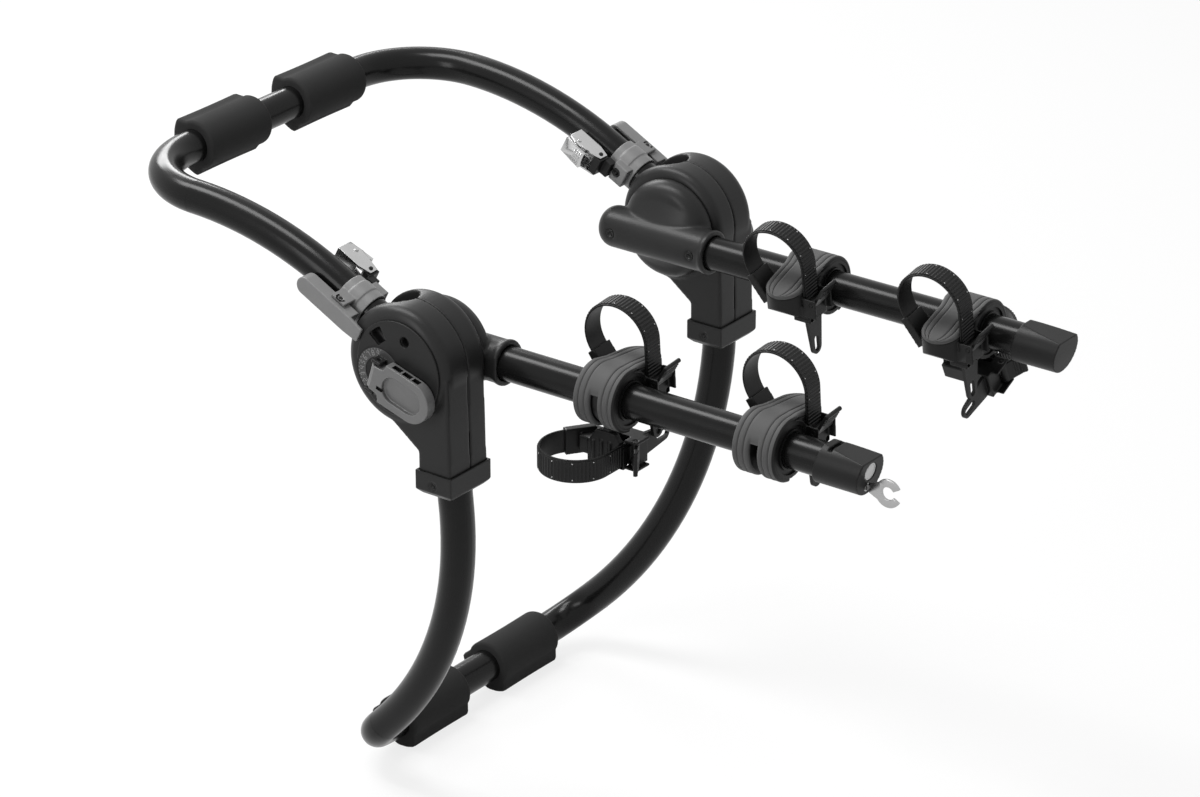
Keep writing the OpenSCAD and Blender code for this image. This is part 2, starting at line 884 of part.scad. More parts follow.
module lock_plate() {
    color("#a9a9ab") hub_at(-1) translate([-arm_in, 0, -arm_drop]) plate_at() difference() {
        y_rod(0.6, 2.4, plate_r);
        y_rod(0, 1.2, plate_r - 1.4);
    }
}

module end_cap() {
    color("#1d1d1e") hub_at(1) translate([-arm_in, 0, -arm_drop]) cap_body();
}

module lock_core() {
    color("#a9a9ab") hub_at(-1) translate([-arm_in, -core_face, -arm_drop - core_drop]) difference() {
        y_rod(0, core_depth, core_r);
        block(-1.2, 1.2, -2, core_depth - 2, -3.2, 3.2);
    }
}

module key() {
    bow = 13;
    bow_place = 22;
    color("#c9c9cb") hub_at(-1) translate([-arm_in, -core_face, -arm_drop - core_drop]) {
        block(-0.9, 0.9, -8, core_depth - 5, -2.8, 2.8);
        translate([-1.3, -bow_place, 0]) across_x() linear_extrude(2.6) difference() {
            union() {
                circle(r = bow);
                polygon([[8, -9], [8, 9], [bow_place - 3, 4], [bow_place - 3, -4]]);
            }
            circle(r = 6);
            polygon([[0, 0], [-20, 11], [-20, -11]]);
        }
    }
}

// cradles; here X points towards the middle of the rack and Z up, with the arm axis along Y

module shelf_outline(lift) {
    polygon([
        [0, ring_r - 0.6 + lift], [shelf_reach, ring_r - 0.6 - shelf_drop + lift], [shelf_reach, 3],
        [shelf_reach - 8, -4], [24, -14], [0, -18]
    ]);
}

module shelf_plan() {
    h = cradle_half - 2;
    translate([-60, -h]) square([60 + shelf_reach - h, 2 * h]);
    translate([shelf_reach - h, 0]) circle(r = h);
}

module cradle_core() {
    y_rod(-cradle_half, cradle_half, ring_r);
    intersection() {
        translate([0, cradle_half, 0]) rotate([90, 0, 0]) linear_extrude(2 * cradle_half) shelf_outline(0);
        translate([0, 0, -60]) linear_extrude(120) shelf_plan();
    }
}

module strap_root() {
    translate([0, loop_lead, loop_rise]) across_x() rotate(-loop_tuck)
        translate([loop_r - root_half, -root_length, strap_in - 1])
            cube([2 * root_half, root_length, strap_w + 2]);
}

module strap_slot() {
    half = strap_t / 2 + slot_play;
    translate([0, loop_lead - loop_r, 0])
        block(strap_in - slot_play, strap_out + slot_play, -half, half, -20, 40);
}

module buckle_base(z_top) {
    translate([0, loop_lead, 0]) difference() {
        union() {
            block(strap_in - 3, strap_out + 3, -loop_r - 6.5, -cradle_half + 1, -12, z_top);
            for (x = [strap_in - 3, strap_out + 3 - ear]) {
                block(x, x + ear, lever_y - 5, -loop_r + 0.5, -6, lever_z + 5);
            }
        }
        translate([0, -loop_lead, 0]) strap_slot();
        x_rod(0, 80, pin_r + run_gap, lever_y, lever_z);
    }
}

module cradle_body() {
    difference() {
        union() {
            cradle_core();
            strap_root();
            buckle_base(4.5);
        }
        y_rod(-cradle_half - 1, cradle_half + 1, tube_r + run_gap);
        y_rod(-gap_half, gap_half, ring_r - 0.9);
        block(-40, 9.5, -gap_half, gap_half, -40, 40);
        strap_slot();
    }
}

module cradle_pad() {
    difference() {
        union() {
            y_rod(-cradle_half, cradle_half, ring_r + rubber);
            intersection() {
                translate([0, cradle_half, 0]) rotate([90, 0, 0])
                    linear_extrude(2 * cradle_half) shelf_outline(rubber);
                translate([0, 0, -60]) linear_extrude(120) shelf_plan();
            }
        }
        y_rod(-cradle_half - 1, cradle_half + 1, ring_r);
        translate([0, 60, 0]) rotate([90, 0, 0]) linear_extrude(120) union() {
            shelf_outline(0);
            polygon([
                [0, ring_r - 0.6], [shelf_reach + 5, ring_r - 0.6 - shelf_slope * (shelf_reach + 5)],
                [shelf_reach + 5, -60], [-6, -60], [-6, 0]
            ]);
        }
        block(-40, 1, -gap_half, gap_half, -40, 11);
        strap_slot();
    }
}

module strap_tail() {
    thick = strap_t + 0.6;
    translate([0, thick / 2 - loop_r, 0]) rotate([90, 0, 0]) linear_extrude(thick) difference() {
        union() {
            polygon([
                [strap_in - 0.3, -12.6], [strap_out + 0.3, -12.6], [strap_place + 7, -tail_end],
                [strap_place - 7, -tail_end]
            ]);
            translate([strap_place, -tail_end]) circle(r = 7);
        }
        translate([strap_place, 0]) rotate(-90) stadium(tail_end - 9, tail_end + 1, 3.4);
    }
}

module strap_loop() {
    far = 3 * loop_r;
    difference() {
        circle(r = loop_r + strap_t / 2);
        circle(r = loop_r - strap_t / 2);
        polygon([
            [0, 0], [-far, 0], [-far, -far], [far * cos(loop_tuck), -far],
            [far * cos(loop_tuck), -far * sin(loop_tuck)]
        ]);
    }
    translate([-loop_r - strap_t / 2, -loop_rise - 15]) square([strap_t, loop_rise + 15]);
}

module cradle_strap() {
    translate([0, loop_lead, 0]) {
        translate([strap_in, 0, loop_rise]) across_x() linear_extrude(strap_w) strap_loop();
        strap_tail();
    }
}

module ratchet_lever() {
    translate([0, loop_lead, 0]) {
        x_rod(strap_in - 2.8, strap_out + 2.8, pin_r, lever_y, lever_z);
        x_rod(strap_in - 0.5, strap_out + 0.5, 3.6, lever_y, lever_z);
        translate([0, lever_y, lever_z]) rotate([30, 0, 0]) block(strap_in, strap_out, -3.1, -0.2, 0.4, 21);
    }
}

module left_cradle_one_body() {
    color("#161617") cradle_at(-1, cradle_one) cradle_body();
}

module left_cradle_one_pad() {
    color("#5b5b5d") cradle_at(-1, cradle_one) cradle_pad();
}

module left_cradle_one_strap() {
    color("#1c1c1d") cradle_at(-1, cradle_one) cradle_strap();
}

module left_cradle_one_lever() {
    color("#1f1f20") cradle_at(-1, cradle_one) ratchet_lever();
}

module left_cradle_two_body() {
    color("#161617") cradle_at(-1, cradle_two) cradle_body();
}

module left_cradle_two_pad() {
    color("#5b5b5d") cradle_at(-1, cradle_two) cradle_pad();
}

module left_cradle_two_strap() {
    color("#1c1c1d") cradle_at(-1, cradle_two) cradle_strap();
}

module left_cradle_two_lever() {
    color("#1f1f20") cradle_at(-1, cradle_two) ratchet_lever();
}

module right_cradle_one_body() {
    color("#161617") cradle_at(1, cradle_one) cradle_body();
}

module right_cradle_one_pad() {
    color("#5b5b5d") cradle_at(1, cradle_one) cradle_pad();
}

module right_cradle_one_strap() {
    color("#1c1c1d") cradle_at(1, cradle_one) cradle_strap();
}

module right_cradle_one_lever() {
    color("#1f1f20") cradle_at(1, cradle_one) ratchet_lever();
}

module right_cradle_two_body() {
    color("#161617") cradle_at(1, cradle_two) cradle_body();
}

module right_cradle_two_pad() {
    color("#5b5b5d") cradle_at(1, cradle_two) cradle_pad();
}

module right_cradle_two_strap() {
    color("#1c1c1d") cradle_at(1, cradle_two) cradle_strap();
}

module right_cradle_two_lever() {
    color("#1f1f20") cradle_at(1, cradle_two) ratchet_lever();
}

// anti sway cradles hang from a ring in the gap between a cradle's two rings

module sway_bracket() {
    ring_half = gap_half - 0.4;
    difference() {
        union() {
            y_rod(-ring_half, ring_half, ring_r - 1.4);
            block(-8, 8, -ring_half, ring_half, -sway_drop + 8, -18);
            translate([sway_shift - 20, 0, 0]) across_x() linear_extrude(6) polygon([
                [-10, -32], [10, -32], [cradle_half - 2, -46], [cradle_half - 2, -sway_drop - 12],
                [2 - cradle_half, -sway_drop - 12], [2 - cradle_half, -46]
            ]);
            block(sway_shift - 18, sway_shift + 9, 2 - cradle_half, cradle_half + sway_lead + 4,
                -sway_drop - 8, -sway_drop + 8);
            sway_strap_at() strap_root();
            sway_strap_at() buckle_base(4.5);
        }
        y_rod(-20, 20, tube_r + run_gap);
        sway_strap_at() strap_slot();
    }
}

module left_sway_bracket() {
    color("#161617") sway_at(-1, cradle_one, 0) sway_bracket();
}

module left_sway_strap() {
    color("#1c1c1d") sway_at(-1, cradle_one, 0) sway_strap_at() cradle_strap();
}

module left_sway_lever() {
    color("#1f1f20") sway_at(-1, cradle_one, 0) sway_strap_at() ratchet_lever();
}

module right_sway_bracket() {
    color("#161617") sway_at(1, cradle_two, sway_turn) sway_bracket();
}

module right_sway_strap() {
    color("#1c1c1d") sway_at(1, cradle_two, sway_turn) sway_strap_at() cradle_strap();
}

module right_sway_lever() {
    color("#1f1f20") sway_at(1, cradle_two, sway_turn) sway_strap_at() ratchet_lever();
}

lower_frame_tube();
lower_pads();
left_hub_outer_shell();
right_hub_outer_shell();
left_hub_inner_shell();
right_hub_inner_shell();
neck_collars();
neck_screws();
hub_axles();
dials();
dial_pins();
upper_frame_tube();
upper_knuckles();
upper_pads();
strap_collars();
collar_screws();
buckle_links();
index_pins();
left_dial_lever();
right_dial_lever();
left_index_lever();
right_index_lever();
left_cam_buckle();
right_cam_buckle();
left_cam_lever();
right_cam_lever();
left_arm_socket();
right_arm_socket();
left_arm_tube();
right_arm_tube();
left_socket_screws();
right_socket_screws();
lock_cap();
end_cap();
lock_plate();
lock_core();
key();
left_cradle_one_body();
left_cradle_one_pad();
left_cradle_one_strap();
left_cradle_one_lever();
left_cradle_two_body();
left_cradle_two_pad();
left_cradle_two_strap();
left_cradle_two_lever();
right_cradle_one_body();
right_cradle_one_pad();
right_cradle_one_strap();
right_cradle_one_lever();
right_cradle_two_body();
right_cradle_two_pad();
right_cradle_two_strap();
right_cradle_two_lever();
left_sway_bracket();
left_sway_strap();
left_sway_lever();
right_sway_bracket();
right_sway_strap();
right_sway_lever();
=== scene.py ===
import json
import math

import bmesh
import bpy
from mathutils import Matrix, Vector


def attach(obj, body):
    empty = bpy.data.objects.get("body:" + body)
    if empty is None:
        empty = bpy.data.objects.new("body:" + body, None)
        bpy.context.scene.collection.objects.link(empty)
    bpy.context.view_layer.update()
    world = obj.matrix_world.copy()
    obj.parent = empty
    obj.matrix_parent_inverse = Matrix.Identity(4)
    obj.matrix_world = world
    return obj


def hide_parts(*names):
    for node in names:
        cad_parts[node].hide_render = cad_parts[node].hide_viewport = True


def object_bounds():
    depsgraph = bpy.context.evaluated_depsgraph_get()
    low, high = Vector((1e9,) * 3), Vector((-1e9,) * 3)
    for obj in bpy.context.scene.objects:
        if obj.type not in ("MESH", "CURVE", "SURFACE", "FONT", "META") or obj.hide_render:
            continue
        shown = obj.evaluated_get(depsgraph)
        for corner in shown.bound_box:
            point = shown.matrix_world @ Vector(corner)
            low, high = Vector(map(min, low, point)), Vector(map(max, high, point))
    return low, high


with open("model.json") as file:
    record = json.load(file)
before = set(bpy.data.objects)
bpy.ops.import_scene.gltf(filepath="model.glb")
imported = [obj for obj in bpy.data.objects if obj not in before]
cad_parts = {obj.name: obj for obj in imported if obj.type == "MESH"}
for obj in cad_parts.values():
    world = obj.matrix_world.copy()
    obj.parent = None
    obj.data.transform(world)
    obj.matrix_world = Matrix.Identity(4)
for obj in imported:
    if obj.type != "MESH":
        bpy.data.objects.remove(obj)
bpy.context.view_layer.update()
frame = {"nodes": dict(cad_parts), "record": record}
nodes = frame["nodes"]
mm = 0.001

# the rack's own places in mm; the fold axis of the hubs is the home of every local frame
rack = {
    "seatY": 122.615, "seatZ": -463.547, "halfSpread": 205, "upperAngle": 27.6,
    "armPlace": 158, "armDrop": 6, "socketMouth": 62, "socketR": 20.4,
    "cradleOne": 176, "cradleTwo": 346, "cradleRoll": {-1: -5, 1: 10},
    "swayDrop": 52, "swayShift": 10, "swayLead": 4.5, "swayTurn": 26,
    "strapPlace": 35, "loopLead": 12, "leverY": -29.5, "leverZ": 9, "leverTilt": 30,
    "neckOut": 30, "neckIn": 24, "legFront": 36, "collarScrew": -105,
    "dialFace": 34, "dialPin": (21, -8), "dialSlope": 17,
    "clipStart": 64, "camX": -22.2, "camPin": 98, "camTilt": 8, "indexX": 22, "indexPin": 84,
}
rack["armIn"] = rack["halfSpread"] - rack["armPlace"]
sides = {"left": -1, "right": 1}
cradleSpots = [("left", "one"), ("left", "two"), ("right", "one"), ("right", "two")]
swaySpots = [("left", "one", 0), ("right", "two", rack["swayTurn"])]


def turn(degrees, axis):
    return Matrix.Rotation(math.radians(degrees), 4, axis)


def shift(x, y, z):
    return Matrix.Translation((x, y, z))


def rowPlace(x, y, z):  # from millimetres about the fold axis to the frame's metres
    return shift(x * mm, (y - rack["seatY"]) * mm, (z - rack["seatZ"]) * mm)


def rowFrame(x, y, z):
    return rowPlace(x, y, z) @ Matrix.Diagonal((mm, mm, mm, 1))


def hubFrame(side):  # x points outwards
    return rowFrame(side * rack["halfSpread"], 0, 0) @ Matrix.Diagonal((side, 1, 1, 1))


def legFrame(side):  # z runs up the upper leg
    return hubFrame(side) @ turn(rack["upperAngle"] - 90, "X")


def armFrame(side, along):  # x points to the middle of the rack, y back along the arm
    return rowFrame(side * rack["armPlace"], -along, -rack["armDrop"]) @ Matrix.Diagonal((-side, 1, 1, 1))


def spotAlong(which):
    return rack["cradleOne"] if which == "one" else rack["cradleTwo"]


def cradleFrame(side, which):
    return armFrame(side, spotAlong(which)) @ turn(rack["cradleRoll"][side], "Y")


def swayFrame(side, which, degrees):
    return armFrame(side, spotAlong(which)) @ turn(degrees, "Y")


def swayStrapFrame(side, which, degrees):
    hang = shift(rack["swayShift"], rack["swayLead"], -rack["swayDrop"]) @ turn(-90, "Y")
    return swayFrame(side, which, degrees) @ hang @ shift(-rack["strapPlace"], 0, 0)


# finishes: one moulded surface group, placed in every material with its own values
moulded = {
    "grainShare": 0.35, "patchShare": 0.65, "patchLow": 0.3, "patchHigh": 0.7, "patchDetail": 4,
    "grainDetail": 3, "grainRough": 0.6,
}


def makeSurfaceGroup():
    group = bpy.data.node_groups.new("mouldedSurface", "ShaderNodeTree")
    sockets = group.interface
    for label, kind in (("Dark", "NodeSocketColor"), ("Light", "NodeSocketColor"),
                        ("Grain Size", "NodeSocketFloat"), ("Patch Size", "NodeSocketFloat"),
                        ("Rough Low", "NodeSocketFloat"), ("Rough High", "NodeSocketFloat")):
        sockets.new_socket(label, in_out="INPUT", socket_type=kind)
    for label, kind in (("Color", "NodeSocketColor"), ("Roughness", "NodeSocketFloat"),
                        ("Height", "NodeSocketFloat")):
        sockets.new_socket(label, in_out="OUTPUT", socket_type=kind)
    tree, link = group.nodes, group.links.new
    given, out = tree.new("NodeGroupInput"), tree.new("NodeGroupOutput")
    where = tree.new("ShaderNodeTexCoord")
    patches, grain = tree.new("ShaderNodeTexNoise"), tree.new("ShaderNodeTexNoise")
    patches.inputs["Detail"].default_value = moulded["patchDetail"]
    grain.inputs["Detail"].default_value = moulded["grainDetail"]
    grain.inputs["Roughness"].default_value = moulded["grainRough"]
    tone, rough = tree.new("ShaderNodeMix"), tree.new("ShaderNodeMapRange")
    tone.data_type = "RGBA"
    blend = tree.new("ShaderNodeMath")
    blend.operation = "MULTIPLY_ADD"
    blend.inputs[1].default_value = moulded["grainShare"]
    for noise, size in ((patches, "Patch Size"), (grain, "Grain Size")):
        link(where.outputs["Object"], noise.inputs["Vector"])
        link(given.outputs[size], noise.inputs["Scale"])
    soft = tree.new("ShaderNodeMath")
    soft.operation = "MULTIPLY"
    soft.inputs[1].default_value = moulded["patchShare"]
    link(patches.outputs["Fac"], soft.inputs[0])
    link(grain.outputs["Fac"], blend.inputs[0])
    link(soft.outputs[0], blend.inputs[2])
    link(blend.outputs[0], tone.inputs["Factor"])
    link(given.outputs["Dark"], tone.inputs["A"])
    link(given.outputs["Light"], tone.inputs["B"])
    link(patches.outputs["Fac"], rough.inputs["Value"])
    rough.inputs["From Min"].default_value = moulded["patchLow"]
    rough.inputs["From Max"].default_value = moulded["patchHigh"]
    link(given.outputs["Rough Low"], rough.inputs["To Min"])
    link(given.outputs["Rough High"], rough.inputs["To Max"])
    link(tone.outputs["Result"], out.inputs["Color"])
    link(rough.outputs["Result"], out.inputs["Roughness"])
    link(grain.outputs["Fac"], out.inputs["Height"])
    return group


surfaceGroup = makeSurfaceGroup()


def grey(value):
    return (value, value, value, 1)


plainLook = {"patch": 25, "depth": 0.0002, "metal": 0, "specular": 0.5}  # where a look names none


def makeFinish(name, ownLook):
    look = {**plainLook, **ownLook}
    material = bpy.data.materials.new(name)
    material.use_nodes = True
    tree, link = material.node_tree.nodes, material.node_tree.links.new
    shader = tree["Principled BSDF"]
    surface = tree.new("ShaderNodeGroup")
    surface.node_tree = surfaceGroup
    surface.inputs["Dark"].default_value = grey(look["tone"][0])
    surface.inputs["Light"].default_value = grey(look["tone"][1])
    surface.inputs["Grain Size"].default_value = look["grain"]
    surface.inputs["Patch Size"].default_value = look["patch"]
    surface.inputs["Rough Low"].default_value = look["rough"][0]
    surface.inputs["Rough High"].default_value = look["rough"][1]
    link(surface.outputs["Color"], shader.inputs["Base Color"])
    link(surface.outputs["Roughness"], shader.inputs["Roughness"])
    bump = tree.new("ShaderNodeBump")
    bump.inputs["Strength"].default_value = look["bump"]
    bump.inputs["Distance"].default_value = look["depth"]
    link(surface.outputs["Height"], bump.inputs["Height"])
    link(bump.outputs["Normal"], shader.inputs["Normal"])
    shader.inputs["Metallic"].default_value = look["metal"]
    shader.inputs["Specular IOR Level"].default_value = look["specular"]
    return material


finishLooks = {
    "tubeBlack": {"tone": (0.004, 0.008), "grain": 700, "rough": (0.2, 0.26), "bump": 0.03,
                  "specular": 0.15},
    "foamBlack": {"tone": (0.014, 0.03), "grain": 900, "rough": (0.85, 0.98), "bump": 0.5, "depth": 0.0004,
                  "specular": 0.15},
    "hubCharcoal": {"tone": (0.013, 0.021), "grain": 1400, "rough": (0.34, 0.42), "bump": 0.12,
                    "specular": 0.17},
    "dialDark": {"tone": (0.012, 0.018), "grain": 1400, "rough": (0.34, 0.42), "bump": 0.1,
                 "specular": 0.17},
    "leverGrey": {"tone": (0.1, 0.13), "grain": 1200, "rough": (0.32, 0.42), "bump": 0.08},
    "collarGrey": {"tone": (0.13, 0.18), "grain": 1200, "rough": (0.4, 0.5), "bump": 0.1},
    "buckleSteel": {"tone": (0.44, 0.54), "grain": 500, "patch": 60, "rough": (0.2, 0.28), "bump": 0.02,
                    "metal": 1},
    "keySteel": {"tone": (0.36, 0.46), "grain": 600, "patch": 80, "rough": (0.24, 0.34), "bump": 0.03,
                 "metal": 1},
    "cradleRubber": {"tone": (0.055, 0.08), "grain": 800, "rough": (0.6, 0.72), "bump": 0.25,
                     "specular": 0.25},
    "strapBlack": {"tone": (0.006, 0.013), "grain": 900, "rough": (0.38, 0.5), "bump": 0.12,
                   "specular": 0.2},
    "darkSteel": {"tone": (0.02, 0.035), "grain": 600, "rough": (0.3, 0.42), "bump": 0.06, "metal": 1},
    "castAlloy": {"tone": (0.25, 0.35), "grain": 500, "rough": (0.45, 0.6), "bump": 0.2, "metal": 1},
    "bodyBlack": {"tone": (0.006, 0.011), "grain": 1200, "rough": (0.36, 0.46), "bump": 0.12,
                  "specular": 0.17},
    "dialRing": {"tone": (0.03, 0.045), "grain": 1400, "rough": (0.4, 0.5), "bump": 0.1},
    "markGrey": {"tone": (0.2, 0.26), "grain": 900, "rough": (0.5, 0.6), "bump": 0.05},
    "markWhite": {"tone": (0.45, 0.6), "grain": 900, "rough": (0.5, 0.6), "bump": 0.05},
    # painted shade: a near-black finish laid in grooves and recesses where they fall dark
    "holeBlack": {"tone": (0.002, 0.004), "grain": 600, "rough": (0.8, 0.9), "bump": 0.05},
}
finishes = {name: makeFinish(name, look) for name, look in finishLooks.items()}
slotFinish = {
    "black_tube": "tubeBlack", "foam": "foamBlack", "hub_plastic": "hubCharcoal",
    "dial_plastic": "dialDark", "grey_plastic": "collarGrey", "lever_plastic": "leverGrey",
    "buckle_steel": "buckleSteel", "lock_steel": "keySteel", "cradle_rubber": "cradleRubber",
    "strap_plastic": "strapBlack", "dark_steel": "darkSteel", "knuckle_metal": "castAlloy",
    "black_plastic": "bodyBlack",
}
for part in frame["record"]["subparts"]:
    mesh = nodes[part["node"]].data
    mesh.materials.clear()
    mesh.materials.append(finishes[slotFinish[part["material_slot"]]])
print("finishes:", len(finishes))


# helpers that make pieces
shaping = {
    "bevelSegments": 2, "bevelAngle": 35, "relax": 0.5, "keep": 0.35, "mouldSharp": 70, "weld": 2e-6,
    "flatAngle": 1, "ringWeld": 1e-5,
}


def ownMesh(bm, place):
    bm.transform(place)
    if place.determinant() < 0:
        bmesh.ops.reverse_faces(bm, faces=bm.faces)
    mesh = bpy.data.meshes.new("shape")
    bm.to_mesh(mesh)
    bm.free()
    return mesh


def makePiece(name, bm, place, body, finishNames, replaced=(), sharp=40, bevel=0):
    piece = bpy.data.objects.new(name, ownMesh(bm, place))
    bpy.context.scene.collection.objects.link(piece)
    for finishName in finishNames if isinstance(finishNames, list) else [finishNames]:
        piece.data.materials.append(finishes[finishName])
    if bevel:
        edges = piece.modifiers.new("edges", "BEVEL")
        edges.width, edges.segments = bevel * mm, shaping["bevelSegments"]
        edges.limit_method, edges.angle_limit = "ANGLE", math.radians(shaping["bevelAngle"])
        settle(piece)
    smoothOff(piece, sharp)
    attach(piece, body)
    if replaced:
        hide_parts(*replaced)
    return piece


def settle(piece):  # the modifiers become the mesh
    bpy.context.view_layer.update()
    graph = bpy.context.evaluated_depsgraph_get()
    done = bpy.data.meshes.new_from_object(piece.evaluated_get(graph))
    old = piece.data
    piece.modifiers.clear()
    piece.data = done
    bpy.data.meshes.remove(old)


def carve(piece, cutter, operation="DIFFERENCE"):
    tool = bpy.data.objects.new("tool", cutter)
    bpy.context.scene.collection.objects.link(tool)
    cut = piece.modifiers.new("cut", "BOOLEAN")
    cut.operation, cut.object, cut.solver = operation, tool, "EXACT"
    settle(piece)
    bpy.data.objects.remove(tool)
    bpy.data.meshes.remove(cutter)


def soften(piece, voxel, rounds):  # one skin with run-out corners, as a moulding has
    skin = piece.modifiers.new("skin", "REMESH")
    skin.mode, skin.voxel_size, skin.use_smooth_shade = "VOXEL", voxel * mm, True
    relax = piece.modifiers.new("relax", "SMOOTH")
    relax.factor, relax.iterations = shaping["relax"], rounds
    thin = piece.modifiers.new("thin", "DECIMATE")
    thin.ratio = shaping["keep"]
    settle(piece)


def cadCopy(name, side=0):  # the solids' own mesh, welded, or only the one on a side
    bm = bmesh.new()
    bm.from_mesh(nodes[name].data)
    bmesh.ops.remove_doubles(bm, verts=bm.verts, dist=shaping["weld"])
    if side:
        bmesh.ops.delete(bm, geom=[v for v in bm.verts if v.co.x * side < 0], context="VERTS")
    return bm


def joinTo(bm, added, place):  # added is in the millimetres of its place
    mesh = ownMesh(tidyNormals(added), place)
    bm.from_mesh(mesh)
    bpy.data.meshes.remove(mesh)
    return bm


def mould(name, bm, body, finishNames, replaced, voxel, rounds):
    piece = makePiece(name, bm, Matrix(), body, finishNames, replaced)
    soften(piece, voxel, rounds)
    smoothOff(piece, shaping["mouldSharp"])
    return piece


def plainCopy(name, bm, body, finishNames, replaced, bevel):  # crisp metal with broken edges
    flat = math.radians(shaping["flatAngle"])
    bmesh.ops.dissolve_limit(bm, angle_limit=flat, verts=bm.verts, edges=bm.edges)
    return makePiece(name, bm, Matrix(), body, finishNames, replaced, bevel=bevel)


def cutAway(piece, place, draw, sharp=50):  # draw puts closed shapes, in the millimetres of the place
    bm = bmesh.new()
    draw(bm)
    carve(piece, ownMesh(tidyNormals(bm), place))
    piece.data.set_sharp_from_angle(angle=math.radians(sharp))


def smoothOff(piece, sharp):
    piece.data.polygons.foreach_set("use_smooth", [True] * len(piece.data.polygons))
    piece.data.set_sharp_from_angle(angle=math.radians(sharp))


def secondFinish(faces):  # these faces take their piece's second finish
    for face in faces:
        face.material_index = 1


def loft(bm, rings, caps=True):
    rows = [[bm.verts.new(p) for p in ring] for ring in rings]
    count = len(rows[0])
    for a, b in zip(rows, rows[1:]):
        for i in range(count):
            j = (i + 1) % count
            bm.faces.new((a[i], a[j], b[j], b[i]))
    if caps:
        bm.faces.new(rows[0][::-1])
        bm.faces.new(rows[-1])
    return rows


def tidyNormals(bm):
    bmesh.ops.recalc_face_normals(bm, faces=bm.faces)
    return bm


def box(bm, x0, x1, y0, y1, z0, z1, turned=None):
    made = bmesh.ops.create_cube(bm, size=1)["verts"]
    middle = shift((x0 + x1) / 2, (y0 + y1) / 2, (z0 + z1) / 2)
    place = middle @ Matrix.Diagonal((x1 - x0, y1 - y0, z1 - z0, 1))
    bmesh.ops.transform(bm, matrix=(turned or Matrix()) @ place, verts=made)


def rod(bm, start, end, radius, corners):
    a, b = Vector(start), Vector(end)
    made = bmesh.ops.create_cone(bm, cap_ends=True, segments=corners, radius1=radius, radius2=radius,
                                 depth=(b - a).length)["verts"]
    place = Matrix.Translation((a + b) / 2) @ (b - a).to_track_quat("Z", "Y").to_matrix().to_4x4()
    bmesh.ops.transform(bm, matrix=place, verts=made)
    return made


def arc(cx, cy, radius, start, end, steps):
    angles = [math.radians(start + (end - start) * i / steps) for i in range(steps + 1)]
    return [(cx + radius * math.cos(a), cy + radius * math.sin(a)) for a in angles]


def revolve(bm, profile, axis, steps, start=0, end=360):  # profile is (radius, height)
    whole = end - start >= 360
    rings = []
    for i in range(steps if whole else steps + 1):
        a = math.radians(start + (end - start) * i / steps)
        c, s = math.cos(a), math.sin(a)
        rings.append([{"X": (h, r * c, r * s), "Y": (r * s, h, r * c)}[axis] for r, h in profile])
    rows = loft(bm, rings, caps=not whole)
    if whole:
        count = len(profile)
        for i in range(count):
            j = (i + 1) % count
            bm.faces.new((rows[-1][i], rows[-1][j], rows[0][j], rows[0][i]))
    bmesh.ops.remove_doubles(bm, verts=bm.verts, dist=shaping["ringWeld"])


# hub shells, sockets and neck collars, each one moulding with softened corners
housing = {
    "shellVoxel": 1.3, "shellRounds": 7, "socketVoxel": 1.2, "socketRounds": 14,
    "collarVoxel": 0.8, "collarRounds": 4, "corners": 64,
    "skirtX": (-44, -63), "skirtY": (43, 40), "skirtZ": (43, 12), "skirtPower": 1.8, "skirtSteps": 16,
    "bore": 16.06, "boreEnd": 51, "borePast": 1, "boreSharp": 70,
}


def socketSkirt():  # the hollow blend between the socket and its disc
    h = housing
    bm = bmesh.new()
    rings = []
    for i in range(h["skirtSteps"] + 1):
        t = i / h["skirtSteps"]
        x = h["skirtX"][0] + (h["skirtX"][1] - h["skirtX"][0]) * t
        wide = h["skirtY"][0] + (h["skirtY"][1] - h["skirtY"][0]) * t
        high = h["skirtZ"][1] + (h["skirtZ"][0] - h["skirtZ"][1]) * (1 - t) ** h["skirtPower"]
        rings.append([(x, wide * math.cos(a), high * math.sin(a) - rack["armDrop"] * t)
                      for a in (math.tau * k / h["corners"] for k in range(h["corners"]))])
    loft(bm, rings)
    return bm


def makeHousings(sideName, side):
    h = housing
    place = hubFrame(side)
    for shell in ("outer", "inner"):
        node = f"{sideName}_hub_{shell}_shell"
        mould(f"{sideName}_hub_{shell}", cadCopy(node), "base", "hubCharcoal", [node],
              h["shellVoxel"], h["shellRounds"])
    node = f"{sideName}_arm_socket"
    bm = joinTo(cadCopy(node), socketSkirt(), place)
    socket = mould(f"{sideName}_socket", bm, f"{sideName}_arm", "hubCharcoal", [node],
                   h["socketVoxel"], h["socketRounds"])
    x, z = -rack["armIn"], -rack["armDrop"]
    start, end = (x, -rack["socketMouth"] - h["borePast"], z), (x, h["boreEnd"], z)
    cutAway(socket, place, lambda bm: rod(bm, start, end, h["bore"], h["corners"]), h["boreSharp"])
    node = "neck_collars"
    mould(f"{sideName}_neckCollar", cadCopy(node, side=side), "base", "hubCharcoal", [node],
          h["collarVoxel"], h["collarRounds"])


for sideName, side in sides.items():
    makeHousings(sideName, side)
print("hub shells, sockets and neck collars: 8")


# screws with hexagon sockets
screw = {
    "hex": 2.5, "depth": 0.9, "bevel": 0.35, "neckHead": 1.8, "armHead": 0.4, "armBack": 15, "armFar": 45,
    "collarHead": 1.4, "collarUp": 15,
}


def makeScrews(name, node, place, body, heads, side=0):  # heads are face middles, each with its way out
    piece = plainCopy(name, cadCopy(node, side=side), body, "darkSteel", [node],
                      screw["bevel"])

    def sockets(bm):
        for x, y, z, out in heads:
            rod(bm, (x - out * screw["depth"], y, z), (x + out, y, z), screw["hex"], 6)
    cutAway(piece, place, sockets)


